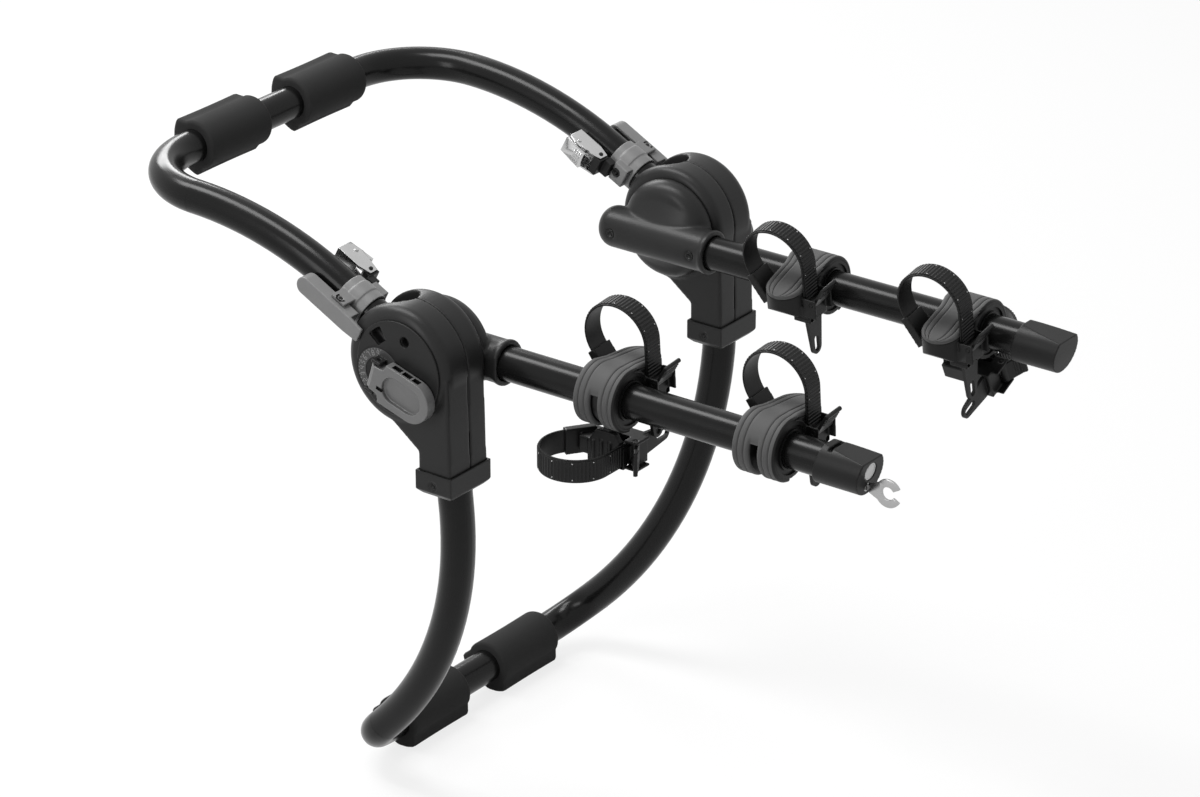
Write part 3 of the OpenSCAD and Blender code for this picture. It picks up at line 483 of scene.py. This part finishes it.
def makeAllScrews(sideName, side):
    s, r = screw, rack
    y, z = -r["legFront"], r["collarScrew"]
    makeScrews(f"{sideName}_neckScrews", "neck_screws", hubFrame(side), "base",
               [(r["neckOut"] + s["neckHead"], y, z, 1), (-r["neckIn"] - s["neckHead"], y, z, -1)], side)
    x = s["armHead"] - r["armIn"] - r["socketR"]
    makeScrews(f"{sideName}_armScrews", f"{sideName}_socket_screws", hubFrame(side), f"{sideName}_arm",
               [(x, y, -r["armDrop"], -1) for y in (s["armBack"] - r["socketMouth"], s["armFar"])])
    makeScrews(f"{sideName}_collarScrew", "collar_screws", legFrame(side), "upper_frame",
               [(r["camX"] - s["collarHead"], 0, r["clipStart"] + s["collarUp"], -1)], side)


for sideName, side in sides.items():
    makeAllScrews(sideName, side)
print("screw sets: 6")


# dials with a ring of plain numbers, and their flip levers
dial = {
    "inner": 15.2, "outer": 23.6, "rise": 0.45, "edge": 0.15, "sink": 0.4, "ringSteps": 96,
    # the recess disc and groove arc are thin near-black sheets of painted shade on the dial face, not cuts
    "recess": 14.8, "recessRise": 0.12, "recessSteps": 64,
    "groove": (24.1, 25.6), "grooveRise": 0.1, "grooveSpan": (-70, 100), "grooveSteps": 40,
    "numbers": 9, "first": -52, "step": 17.5, "middle": 19.0, "tall": 4.4, "wide": 2.3, "stroke": 0.55,
    "inkSink": 0.1, "ink": 0.16, "tick": (22.0, 23.3), "tickHalf": 0.25, "tickInk": 0.14,
    "plateVoxel": 0.6, "plateRounds": 3, "leverVoxel": 0.55, "leverRounds": 4, "leverLift": 6,
    "pockets": ((17, 26.5), (28.5, 38), (40, 47.5)), "pocketX": (-2.2, 3.6), "pocketZ": (-21.5, -16.6),
    "notch": (4.2, 8, 8, 15, 4.5, 8),
}
strokes = {  # which of the seven strokes each figure has
    "1": "bc", "2": "abged", "3": "abgcd", "4": "fgbc", "5": "afgcd", "6": "afgedc", "7": "abc",
    "8": "abcdefg", "9": "abfgcd",
}


def figure(bm, digit, place):  # place has x out of the dial, y across the figure and z up it
    d = dial
    w, t, k = d["wide"] / 2, d["tall"] / 2, d["stroke"] / 2
    apart = k / 4  # keeps the upright bars from sharing a face
    bars = {"a": (-w, w, t - k, t + k), "g": (-w, w, -k, k), "d": (-w, w, -t - k, k - t),
            "f": (-w - k, k - w, apart, t), "b": (w - k, w + k, apart, t),
            "e": (-w - k, k - w, -t, -apart), "c": (w - k, w + k, -t, -apart)}
    for bar in strokes[digit]:
        box(bm, -d["inkSink"], d["ink"], *bars[bar], place)


def makeDial(sideName, side):
    d, r = dial, rack
    place = hubFrame(side)
    mould(f"{sideName}_dialPlate", cadCopy("dials", side=side), "base", "dialDark",
          ["dials"], d["plateVoxel"], d["plateRounds"])
    y, z = r["dialPin"]
    pin = shift(r["dialFace"], y, z)
    bm = bmesh.new()
    revolve(bm, [(d["inner"], -d["sink"]), (d["outer"], -d["sink"]), (d["outer"], d["rise"] - d["edge"]),
                 (d["outer"] - d["edge"], d["rise"]), (d["inner"], d["rise"])], "X", d["ringSteps"])
    bmesh.ops.transform(bm, matrix=pin, verts=bm.verts)
    makePiece(f"{sideName}_numberRing", tidyNormals(bm), place, "base", "dialRing")
    # a near-black disc inside the number ring and an arc round it: painted shade of the recess under the
    # lever and of its groove
    bm = bmesh.new()
    rod(bm, (-d["sink"], 0, 0), (d["recessRise"], 0, 0), d["recess"], d["recessSteps"])
    low, high = d["groove"]
    revolve(bm, [(low, -d["sink"]), (high, -d["sink"]), (high, d["grooveRise"]), (low, d["grooveRise"])],
            "X", d["grooveSteps"], *d["grooveSpan"])
    bmesh.ops.transform(bm, matrix=pin, verts=bm.verts)
    makePiece(f"{sideName}_dialRecessShade", tidyNormals(bm), place, "base", "holeBlack")
    bm = bmesh.new()
    ring = pin @ shift(d["rise"], 0, 0)
    readable = Matrix.Diagonal((1, side, 1, 1))  # undoes the mirroring of the left hub
    for i in range(d["numbers"]):
        degrees = d["first"] + d["step"] * i - 90
        figure(bm, str(i + 1), ring @ turn(degrees, "X") @ shift(0, 0, d["middle"]) @ readable)
        for part in (0, 0.5):
            box(bm, -d["inkSink"], d["tickInk"], -d["tickHalf"], d["tickHalf"], *d["tick"],
                ring @ turn(degrees + d["step"] * part, "X"))
    makePiece(f"{sideName}_numbers", tidyNormals(bm), place, "base", "markGrey")
    node = f"{sideName}_dial_lever"
    lever = mould(f"{sideName}_dialLever", cadCopy(node), node, ["leverGrey", "bodyBlack"],
                  [node], d["leverVoxel"], d["leverRounds"])

    # pockets and a notch are real cuts in the grey lever; their walls take the black second finish as
    # painted shade
    def pockets(bm):
        for start, end in d["pockets"]:
            box(bm, *d["pocketX"], start, end, *d["pocketZ"])
        box(bm, *d["notch"])
        secondFinish(bm.faces)
    flipped = shift(r["dialFace"] + d["leverLift"], y, z) @ turn(180 + r["dialSlope"], "X")
    cutAway(lever, place @ flipped, pockets)


for sideName, side in sides.items():
    makeDial(sideName, side)
print("dials and levers: 10")


# strap collars on the upper legs, with their index levers and cam buckles
collar = {
    "voxel": 0.6, "rounds": 3, "linkVoxel": 0.5, "linkRounds": 2, "bevel": 0.5, "sharp": 40,
    "hook": (3.1, 4.9), "hookX": 5, "hookSpan": (-30, 190), "hookSteps": 24,
    "cheek": -11.9, "hookPast": 1, "hookDeep": 1.1,
    "ridges": (-13, -10.4, -7.8, -5.2), "ridgeX": (-7.7, -6), "ridgeHalf": 7.6, "ridgeThick": 0.65,
    "leverOut": 15, "leverUp": 24,
}


def makeCollar(sideName, side):
    c, r = collar, rack
    place = legFrame(side)
    piece = mould(f"{sideName}_strapCollar", cadCopy("strap_collars", side=side), "upper_frame",
                  ["collarGrey", "holeBlack"], ["strap_collars"], c["voxel"], c["rounds"])

    # an arc groove cut round the index lever's pin; its walls take the near-black second finish as painted
    # shade
    def hook(bm):
        low, high = c["hook"]
        y0, y1 = c["cheek"] - c["hookPast"], c["cheek"] + c["hookDeep"]
        revolve(bm, [(low, y0), (high, y0), (high, y1), (low, y1)], "Y", c["hookSteps"], *c["hookSpan"])
        bmesh.ops.transform(bm, matrix=shift(r["indexX"] + c["hookX"], 0, r["indexPin"]), verts=bm.verts)
        secondFinish(bm.faces)
    cutAway(piece, place, hook)
    node = f"{sideName}_index_lever"
    mould(f"{sideName}_indexLever", cadCopy(node), node, "collarGrey", [node],
          c["voxel"], c["rounds"])
    node = "buckle_links"
    mould(f"{sideName}_link", cadCopy(node, side=side), "upper_frame", "bodyBlack", [node],
          c["linkVoxel"], c["linkRounds"])
    node = f"{sideName}_cam_buckle"
    plainCopy(f"{sideName}_buckle", cadCopy(node), node, "buckleSteel", [node], c["bevel"])
    node = f"{sideName}_cam_lever"
    lever = plainCopy(f"{sideName}_camLever", cadCopy(node), node, "buckleSteel", [node],
                      c["bevel"])
    bm = bmesh.new()
    for z in c["ridges"]:
        box(bm, *c["ridgeX"], -c["ridgeHalf"], c["ridgeHalf"], z - c["ridgeThick"], z + c["ridgeThick"])
    at = place @ shift(r["camX"] - c["leverOut"], 0, r["camPin"] + c["leverUp"]) @ turn(r["camTilt"], "Y")
    carve(lever, ownMesh(tidyNormals(bm), at), "UNION")
    lever.data.set_sharp_from_angle(angle=math.radians(c["sharp"]))


for sideName, side in sides.items():
    makeCollar(sideName, side)
print("strap collars, levers and buckles: 10")


# end caps, lock and key
cap = {"voxel": 0.65, "rounds": 3, "bevel": 0.4}


def makeCaps():
    c = cap
    for node, body in (("lock_cap", "left_arm"), ("end_cap", "right_arm")):
        mould(f"{node}_shell", cadCopy(node), body, "bodyBlack", [node],
              c["voxel"], c["rounds"])
    for node, body in (("lock_plate", "left_arm"), ("lock_core", "lock_core"), ("key", "key")):
        plainCopy(f"{node}_bright", cadCopy(node), body, "keySteel", [node], c["bevel"])


makeCaps()
print("caps, lock and key: 5")


# foam pads on the two crossbars, with a grooved contact face
foamPad = {
    "length": 86, "place": 70.5, "round": 24.3, "bore": 16.2, "reach": 23.5, "half": 28.5, "sharp": 60,
    "endRound": 3.2, "endSteps": 5, "middleSteps": 12, "waist": 0.35, "backFrom": 98, "backSteps": 16,
    "groove": ((0, 0.0), (0, 2.2), (0.7, 3.4), (1.9, 4.5), (0.7, 5.6), (0, 6.8), (0, 10.5), (0.8, 13.4)),
    "shoulder": ((19.6, 8.6), (17.2, 5.4), (14.3, 2.2)),
    "crest": ((11.3, 0.4), (8.6, 0.7), (4.8, 2.6), (0.5, 4.6)),
}
padBars = {
    "lower": {"body": "base", "node": "lower_pads", "y": 112.684, "z": -442.248, "face": -65},
    "upper": {"body": "upper_frame", "node": "upper_pads", "y": 342.607, "z": 93.6088, "face": -24},
}


def padOutline(inset):
    p = foamPad
    reach, half = p["reach"] - inset, p["half"] - inset
    upper = [(reach - back, v) for back, v in p["groove"]]
    upper += [(u - inset, half - down) for u, down in p["shoulder"]]
    upper += [(u, half - down) for u, down in p["crest"]]
    upper += arc(0, 0, p["round"] - inset, p["backFrom"], 180, p["backSteps"])
    return upper + [(u, -v) for u, v in reversed(upper[1:-1])]


def padStations():  # places along the pad, with how far the outline draws in
    p = foamPad
    stations = []
    for i in range(p["endSteps"] + 1):
        a = math.radians(90 * i / p["endSteps"])
        end = p["endRound"] * (1 - math.sin(a)) - p["length"] / 2
        stations.append((end, p["endRound"] * (1 - math.cos(a))))
    stations.reverse()
    start, run = p["endRound"] - p["length"] / 2, p["length"] - 2 * p["endRound"]
    count = p["middleSteps"]
    for i in range(1, count):
        stations.append((start + run * i / count, p["waist"] * math.sin(math.pi * i / count)))
    return stations + [(-x, inset) for x, inset in reversed(stations[:p["endSteps"] + 1])]


def makePad(barName, sideName):
    p, bar = foamPad, padBars[barName]
    bm = bmesh.new()

    def boreVert(v):  # where the bore meets the spoke through a point of the outline
        y, z = Vector((v.co.y, v.co.z)).normalized() * p["bore"]
        return bm.verts.new((v.co.x, y, z))
    rows = loft(bm, [[(x, u, v) for u, v in padOutline(inset)] for x, inset in padStations()], caps=False)
    bore = [[boreVert(v) for v in row] for row in (rows[0], rows[-1])]
    for near, far in ((rows[0], bore[0]), (bore[0], bore[1]), (bore[1], rows[-1])):
        for i in range(len(near)):
            j = (i + 1) % len(near)
            bm.faces.new((near[i], near[j], far[j], far[i]))
    place = rowFrame(sides[sideName] * p["place"], bar["y"], bar["z"]) @ turn(bar["face"], "X")
    pad = makePiece(f"{barName}Pad_{sideName}", tidyNormals(bm), place, bar["body"], "foamBlack",
                    [bar["node"]], sharp=p["sharp"])


for barName in padBars:
    for sideName in sides:
        makePad(barName, sideName)
print("foam pads: 4")


# rubber saddles on the cradles
saddle = {
    "ring": 26.4, "ringFrom": 258, "ringTo": 80, "ringSteps": 40, "tongueSteps": 26, "tongueEase": 1.6,
    "rubber": 3.0, "under": 0.4, "least": 0.2, "half": 22, "tongueHalf": 19.2, "blend": 12, "reach": 62,
    "slope": 11 / 62, "tipGap": 0.02, "tipLeast": 0.3, "sharp": 50,
    "grooves": (9.6, 16.0), "grooveDepth": 0.9, "grooveWidth": 0.55, "edge": 2.6, "edgeShare": (0.85, 0.15),
    "gap": 4.2, "gapX": (-45, 1), "gapZ": (-45, 11),
    "dipWide": 2.2, "dipTop": 15, "dipShare": 0.55, "dipFade": 4, "rim": -19.9, "rimReach": 14,
    "across": (0, 2, 3.6, 4.2, 4.6, 5.2, 6.2, 7.6, 8.8, 9.2, 9.6, 10.0, 10.4, 12, 14, 15.2, 15.6, 16.0,
               16.4, 16.8, 18, 19.4, 20.2, 20.9, 21.4, 21.75, 21.93, 22),
}


def saddlePath():  # place, outward direction and half width, step by step
    s = saddle
    path = []
    for i in range(s["ringSteps"] + 1):  # round the outer side of the ring and over its top
        a = math.radians(s["ringFrom"] - (s["ringFrom"] - s["ringTo"]) * i / s["ringSteps"])
        path.append((s["ring"] * math.cos(a), s["ring"] * math.sin(a), math.cos(a), math.sin(a), s["half"]))
    x0, z0 = path[-1][:2]
    n = Vector((s["slope"], 1)).normalized()
    tip = s["reach"] - s["tongueHalf"]
    for i in range(1, s["tongueSteps"] + 1):  # down the tongue to its round tip
        t = 1 - (1 - i / s["tongueSteps"]) ** s["tongueEase"]
        x = x0 + (s["reach"] - s["tipGap"] - x0) * t
        z = z0 - (x - x0) * s["slope"]
        if x < tip:
            blend = min(1, max(0, (x - x0) / s["blend"]))
            wide = s["half"] * (1 - blend) + s["tongueHalf"] * blend
        else:
            wide = math.sqrt(max(s["tipLeast"], s["tongueHalf"] ** 2 - (x - tip) ** 2))
        path.append((x, z, n.x, n.y, wide))
    return path


def saddleRise(y, z, x, half):
    s = saddle
    away = half - abs(y) * half / s["half"]
    rise = s["rubber"]
    if away < s["edge"]:
        most, least = s["edgeShare"]
        rise *= math.sqrt(max(0.0, 1 - (1 - away / s["edge"]) ** 2)) * most + least
    for groove in s["grooves"]:
        rise -= s["grooveDepth"] * math.exp(-((abs(y) - groove) / s["grooveWidth"]) ** 2)
    near = s["gap"] + s["dipWide"]
    if x < 0 and z < s["dipTop"] and abs(y) < near:  # the rubber thins towards the gap
        dip = min(1, (near - abs(y)) / s["dipWide"])
        rise *= 1 - s["dipShare"] * dip ** 2 * min(1, (s["dipTop"] - z) / s["dipFade"])
    return max(rise, s["least"])


def makeSaddle(sideName, which):
    s = saddle
    bm = bmesh.new()
    across = [-y for y in reversed(s["across"][1:])] + list(s["across"])
    rings = []
    for x, z, nx, nz, half in saddlePath():
        top, under = [], []
        for y in across:
            wide = y * half / s["half"]
            rise = saddleRise(y, z, x, half)
            top.append((x + nx * rise, wide, z + nz * rise))
            under.append((x - nx * s["under"], wide, z - nz * s["under"]))
        rings.append(top + under[::-1])
    loft(bm, rings)
    tidyNormals(bm)

    def onRim(face):  # the rim at the outer end is black
        middle = face.calc_center_median()
        return middle.y < s["rim"] and middle.x < s["rimReach"]
    secondFinish([face for face in bm.faces if onRim(face)])
    name, place = f"{sideName}_cradle_{which}", cradleFrame(sides[sideName], which)
    piece = makePiece(f"{name}_saddle", bm, place, name, ["cradleRubber", "bodyBlack"],
                      [f"{name}_pad"], sharp=s["sharp"])
    cutAway(piece, place, lambda bm: box(bm, *s["gapX"], -s["gap"], s["gap"], *s["gapZ"]))


for sideName, which in cradleSpots:
    makeSaddle(sideName, which)
print("saddles:", len(cradleSpots))


# cradle bodies, ratchet levers and hanging brackets
cradleBody = {
    "voxel": 0.8, "rounds": 3, "leverVoxel": 0.5, "leverRounds": 2,
    "recess": (18.6, 22.6), "recessFrom": 24, "recessTo": 20.2, "recessSteps": 48,
    "flutes": 5, "flute": 2.7, "fluteX": (25, 29), "fluteZ": (-14.2, 9.7), "fluteDrop": 0.9,
    "fluteHalf": 30, "gap": 4.3, "hollow": 25.5, "gapEnd": 9.5, "gapReach": 40,
    "ribs": ((-14, -44), (-5, -41), (4, -41), (13, -43)), "ribFoot": -62, "ribHalf": 1.6,
    "ribFace": 20, "ribOut": 1.6, "ribIn": 2,
    "ridges": (10.5, 13.2, 15.9), "ridgeX": (25, 45), "ridgeY": (-4.1, -2.4), "ridgeHalf": 0.7,
    "lip": 2.1, "lipX": (24.2, 45.8), "lipY": -2.2, "lipZ": 20.0,
}


def makeCradleBody(sideName, which):
    c = cradleBody
    name = f"{sideName}_cradle_{which}"
    piece = mould(f"{name}_housing", cadCopy(f"{name}_body"), name, "bodyBlack",
                  [f"{name}_body"], c["voxel"], c["rounds"])

    def cuts(bm):  # a recess round the tube at both ends, and flutes under the tongue
        low, high = c["recess"]
        for out in (-1, 1):
            y0, y1 = out * c["recessFrom"], out * c["recessTo"]
            revolve(bm, [(low, y0), (high, y0), (high, y1), (low, y1)], "Y", c["recessSteps"])
        for i in range(c["flutes"]):
            t = (i + 0.5) / c["flutes"]
            x = c["fluteX"][0] + c["fluteX"][1] * t
            z = c["fluteZ"][0] + c["fluteZ"][1] * t - c["fluteDrop"]
            rod(bm, (x, -c["fluteHalf"], z), (x, c["fluteHalf"], z), c["flute"], 20)
    place = cradleFrame(sides[sideName], which)
    cutAway(piece, place, cuts)
    gap, far = c["gap"], c["gapReach"]
    cutAway(piece, place, lambda bm: rod(bm, (0, -gap, 0), (0, gap, 0), c["hollow"], 96))
    cutAway(piece, place, lambda bm: box(bm, -far, c["gapEnd"], -gap, gap, -far, far))
    makeRatchet(name, place)


def makeRatchet(name, place):
    c, r = cradleBody, rack
    bm = cadCopy(f"{name}_lever")
    grip = bmesh.new()
    tilt = shift(0, r["leverY"], r["leverZ"]) @ turn(r["leverTilt"], "X")
    for z in c["ridges"]:
        box(grip, *c["ridgeX"], *c["ridgeY"], z - c["ridgeHalf"], z + c["ridgeHalf"], tilt)
    start, end = [tilt @ Vector((x, c["lipY"], c["lipZ"])) for x in c["lipX"]]
    rod(grip, start, end, c["lip"], 24)
    joinTo(bm, grip, place)
    mould(f"{name}_ratchet", bm, f"{name}_lever", "bodyBlack", [f"{name}_lever"],
          c["leverVoxel"], c["leverRounds"])


def makeHanger(sideName, which, degrees):
    c = cradleBody
    name = f"{sideName}_sway"
    bm = cadCopy(f"{name}_bracket")
    ribs = bmesh.new()
    face = rack["swayShift"] - c["ribFace"]
    for y, top in c["ribs"]:
        box(ribs, face - c["ribOut"], face + c["ribIn"], y - c["ribHalf"], y + c["ribHalf"],
            c["ribFoot"], top)
    joinTo(bm, ribs, swayFrame(sides[sideName], which, degrees))
    mould(f"{name}_hanger", bm, name, "bodyBlack", [f"{name}_bracket"],
          c["voxel"], c["rounds"])
    makeRatchet(name, swayStrapFrame(sides[sideName], which, degrees))


for sideName, which in cradleSpots:
    makeCradleBody(sideName, which)
for sideName, which, degrees in swaySpots:
    makeHanger(sideName, which, degrees)
print("cradle bodies, hangers and ratchets: 12")


# ladder straps
ladder = {
    "width": 22, "radius": 33, "rise": 41, "tuck": 35, "foot": 12.6, "base": 1.7, "thick": 2.6,
    "corner": 0.3, "pitch": 3.4, "pitchSteps": 4, "rib": 0.9, "ribLow": 0.25, "ribSpan": (0.25, 0.8),
    "ribFrom": 12, "ribLean": 0.15, "margin": 0.86, "sharp": 35,
    "dotFrom": 14.0, "dotPast": 8, "dotEvery": 19, "dot": 0.55, "dotShare": 0.82,
    "dotSink": 0.3, "dotOut": 0.12, "tailEnd": 45, "tailHalf": 7, "tailSpan": (186, 354), "tailSteps": 16,
    "tailSwell": 0.3, "shoulder": 17, "shoulderIn": 0.2, "hole": (36, 46, 3.4), "holeSteps": 12,
}


def strapPath():  # distance along, middle of the band, outward direction
    p = ladder
    arcLength = p["radius"] * math.radians(180 + p["tuck"])
    straight = p["rise"] + p["foot"]
    steps = []
    along = 0.0
    while along < arcLength + straight:
        steps.append(along)
        along += p["pitch"] / p["pitchSteps"]
    steps.append(arcLength + straight)
    out = []
    for along in steps:
        if along <= arcLength:
            a = math.radians(-p["tuck"]) + along / p["radius"]
            y, z = rack["loopLead"] + p["radius"] * math.cos(a), p["rise"] + p["radius"] * math.sin(a)
            out.append((along, y, z, math.cos(a), math.sin(a)))
        else:
            out.append((along, rack["loopLead"] - p["radius"], p["rise"] - (along - arcLength), -1.0, 0.0))
    return out, arcLength


def makeStrap(name, body, place, replaced):
    p = ladder
    bm = bmesh.new()
    path, arcLength = strapPath()
    w, m = p["width"] / 2, p["width"] / 2 * p["margin"]
    low, c, lean = -p["thick"] / 2, p["corner"], p["ribLean"]
    flat = low + p["base"]
    rings = []
    for along, y, z, ny, nz in path:
        phase = (along / p["pitch"]) % 1
        ridge = p["ribSpan"][0] < phase < p["ribSpan"][1] and along > p["ribFrom"]
        top = flat + (p["rib"] if ridge else p["ribLow"])
        section = [(-w, low + c), (c - w, low), (w - c, low), (w, low + c), (w, flat - c), (w - c, flat),
                   (m, flat), (m - lean, top), (lean - m, top), (-m, flat), (c - w, flat), (-w, flat - c)]
        rings.append([(rack["strapPlace"] + u, y + ny * h, z + nz * h) for u, h in section])
    loft(bm, rings)
    addDots(bm, path, arcLength + p["dotPast"], m * p["dotShare"], flat + p["rib"])
    thick = p["thick"] / 2 + p["tailSwell"]
    near, far, bend = p["hole"]
    outer = [(-w - c, -p["foot"]), (p["shoulderIn"] - w, -p["shoulder"])]
    outer += arc(0, -p["tailEnd"], p["tailHalf"], *p["tailSpan"], p["tailSteps"])
    outer += [(w - p["shoulderIn"], -p["shoulder"]), (w + c, -p["foot"])]
    hole = arc(0, -far, bend, 180, 360, p["holeSteps"]) + arc(0, -near, bend, 0, 180, p["holeSteps"])
    strapY = rack["loopLead"] - p["radius"]
    addPlate(bm, outer, hole, lambda u, v, h: (rack["strapPlace"] + u, strapY + h, v), -thick, thick)
    makePiece(name, tidyNormals(bm), place, body, ["strapBlack", "markWhite"], replaced,
              sharp=p["sharp"])


def addDots(bm, path, until, across, high):  # pairs of pale moulded points
    p = ladder
    at = p["dotFrom"]
    while at < until:
        y, z, ny, nz = min(path, key=lambda step: abs(step[0] - at))[1:]
        outward = Vector((0, ny, nz))
        for u in (-across, across):
            centre = Vector((rack["strapPlace"] + u, y + ny * high, z + nz * high))
            made = rod(bm, centre - outward * p["dotSink"], centre + outward * p["dotOut"], p["dot"], 10)
            secondFinish({f for v in made for f in v.link_faces})
        at += p["dotEvery"]


def addPlate(bm, outline, hole, lift, low, high):  # a plate with one window
    sheets = []
    for h in (low, high):
        rim = [bm.verts.new(lift(u, v, h)) for u, v in outline]
        window = [bm.verts.new(lift(u, v, h)) for u, v in hole]
        edges = []
        for ring in (rim, window):
            for i in range(len(ring)):
                edges.append(bm.edges.new((ring[i], ring[(i + 1) % len(ring)])))
        bmesh.ops.triangle_fill(bm, use_beauty=True, edges=edges)
        sheets.append((rim, window))
    for under, over in zip(*sheets):
        for i in range(len(under)):
            j = (i + 1) % len(under)
            bm.faces.new((under[i], under[j], over[j], over[i]))


for sideName, which in cradleSpots:
    name = f"{sideName}_cradle_{which}"
    makeStrap(f"{name}_ladder", name, cradleFrame(sides[sideName], which), [f"{name}_strap"])
for sideName, which, degrees in swaySpots:
    name = f"{sideName}_sway"
    makeStrap(f"{name}_ladder", name, swayStrapFrame(sides[sideName], which, degrees), [f"{name}_strap"])
print("straps: 6")


# floor, light and camera
studio = {
    "floor": 0.8, "floorSize": 14, "floorDrop": 0.0005, "floorRough": 0.9, "floorSpecular": 0.1,
    "floorGlow": 0.8, "world": 0.45,
    "camera": (-3217.6, -2432.3, 1720.1), "azimuth": -53.435, "elevation": 24.464,
    "focal": 4756.2, "imageWidth": 1200, "sensor": 36, "farEnd": 50,
}
lamps = {  # place, aim, size and watts
    "overhead": ((-0.3, 1.0, 2.6), (-0.3, 0.4, 0.4), (0.8, 2.0), 72),
    "besideLeft": ((-2.6, 0.4, 1.5), (0, 0, 0.4), (0.8, 1.5), 22),
    "behind": ((1.6, 2.4, 1.8), (0, 0, 0.4), (1.6, 0.6), 40),
}


def seenStraight(tree, link):  # 1 for rays from the camera, a gloss or clear glass
    ray = tree.new("ShaderNodeLightPath")
    first, second = tree.new("ShaderNodeMath"), tree.new("ShaderNodeMath")
    first.operation = second.operation = "MAXIMUM"
    link(ray.outputs["Is Camera Ray"], first.inputs[0])
    link(ray.outputs["Is Glossy Ray"], first.inputs[1])
    link(first.outputs[0], second.inputs[0])
    link(ray.outputs["Is Transmission Ray"], second.inputs[1])
    return second.outputs[0]


def makeFloor():
    s = studio
    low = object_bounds()[0]
    bm = bmesh.new()
    bmesh.ops.create_grid(bm, x_segments=1, y_segments=1, size=s["floorSize"] / 2)
    bm.transform(shift(0, 0, low.z - s["floorDrop"]))
    mesh = bpy.data.meshes.new("floor")
    bm.to_mesh(mesh)
    bm.free()
    floor = bpy.data.objects.new("floor", mesh)
    bpy.context.scene.collection.objects.link(floor)
    material = bpy.data.materials.new("paleFloor")
    material.use_nodes = True
    tree, link = material.node_tree.nodes, material.node_tree.links.new
    paper = tree["Principled BSDF"]
    paper.inputs["Base Color"].default_value = grey(s["floor"])
    paper.inputs["Roughness"].default_value = s["floorRough"]
    paper.inputs["Specular IOR Level"].default_value = s["floorSpecular"]
    glow, mix = tree.new("ShaderNodeEmission"), tree.new("ShaderNodeMixShader")
    part = tree.new("ShaderNodeMath")
    part.operation = "MULTIPLY"
    part.inputs[1].default_value = s["floorGlow"]
    link(seenStraight(tree, link), part.inputs[0])
    link(part.outputs[0], mix.inputs["Fac"])
    link(paper.outputs[0], mix.inputs[1])
    link(glow.outputs[0], mix.inputs[2])
    link(mix.outputs[0], tree["Material Output"].inputs["Surface"])
    mesh.materials.append(material)


def makeLamp(name, place, aim, size, watts):
    data = bpy.data.lights.new(name, "AREA")
    data.shape, data.size, data.size_y, data.energy = "RECTANGLE", size[0], size[1], watts
    lamp = bpy.data.objects.new(name, data)
    lamp.location = place
    lamp.rotation_euler = (Vector(aim) - Vector(place)).to_track_quat("-Z", "Y").to_euler()
    bpy.context.scene.collection.objects.link(lamp)


def makeWorld():
    world = bpy.data.worlds.new("studio")
    bpy.context.scene.world = world
    world.use_nodes = True
    tree, link = world.node_tree.nodes, world.node_tree.links.new
    back = tree["Background"]
    back.inputs["Color"].default_value = grey(1)
    level = tree.new("ShaderNodeMapRange")
    level.inputs["To Min"].default_value = studio["world"]
    level.inputs["To Max"].default_value = 1
    link(seenStraight(tree, link), level.inputs["Value"])
    link(level.outputs["Result"], back.inputs["Strength"])


def makeCamera():
    s = studio
    data = bpy.data.cameras.new("photoCamera")
    data.sensor_fit, data.sensor_width = "HORIZONTAL", s["sensor"]
    data.lens = s["focal"] / s["imageWidth"] * data.sensor_width
    data.clip_end = s["farEnd"]
    camera = bpy.data.objects.new("photoCamera", data)
    a, e = math.radians(s["azimuth"]), math.radians(s["elevation"])
    right = Vector((math.cos(a), math.sin(a), 0))
    back = Vector((math.sin(a) * math.cos(e), -math.cos(a) * math.cos(e), math.sin(e)))
    turned = Matrix((right, back.cross(right), back)).transposed().to_4x4()
    camera.matrix_world = rowPlace(*s["camera"]) @ turned
    bpy.context.scene.collection.objects.link(camera)
    bpy.context.scene.camera = camera


makeFloor()
makeWorld()
for lampName, lampSettings in lamps.items():
    makeLamp(lampName, *lampSettings)
makeCamera()
bpy.context.scene.view_settings.view_transform = "Standard"
print("studio set")
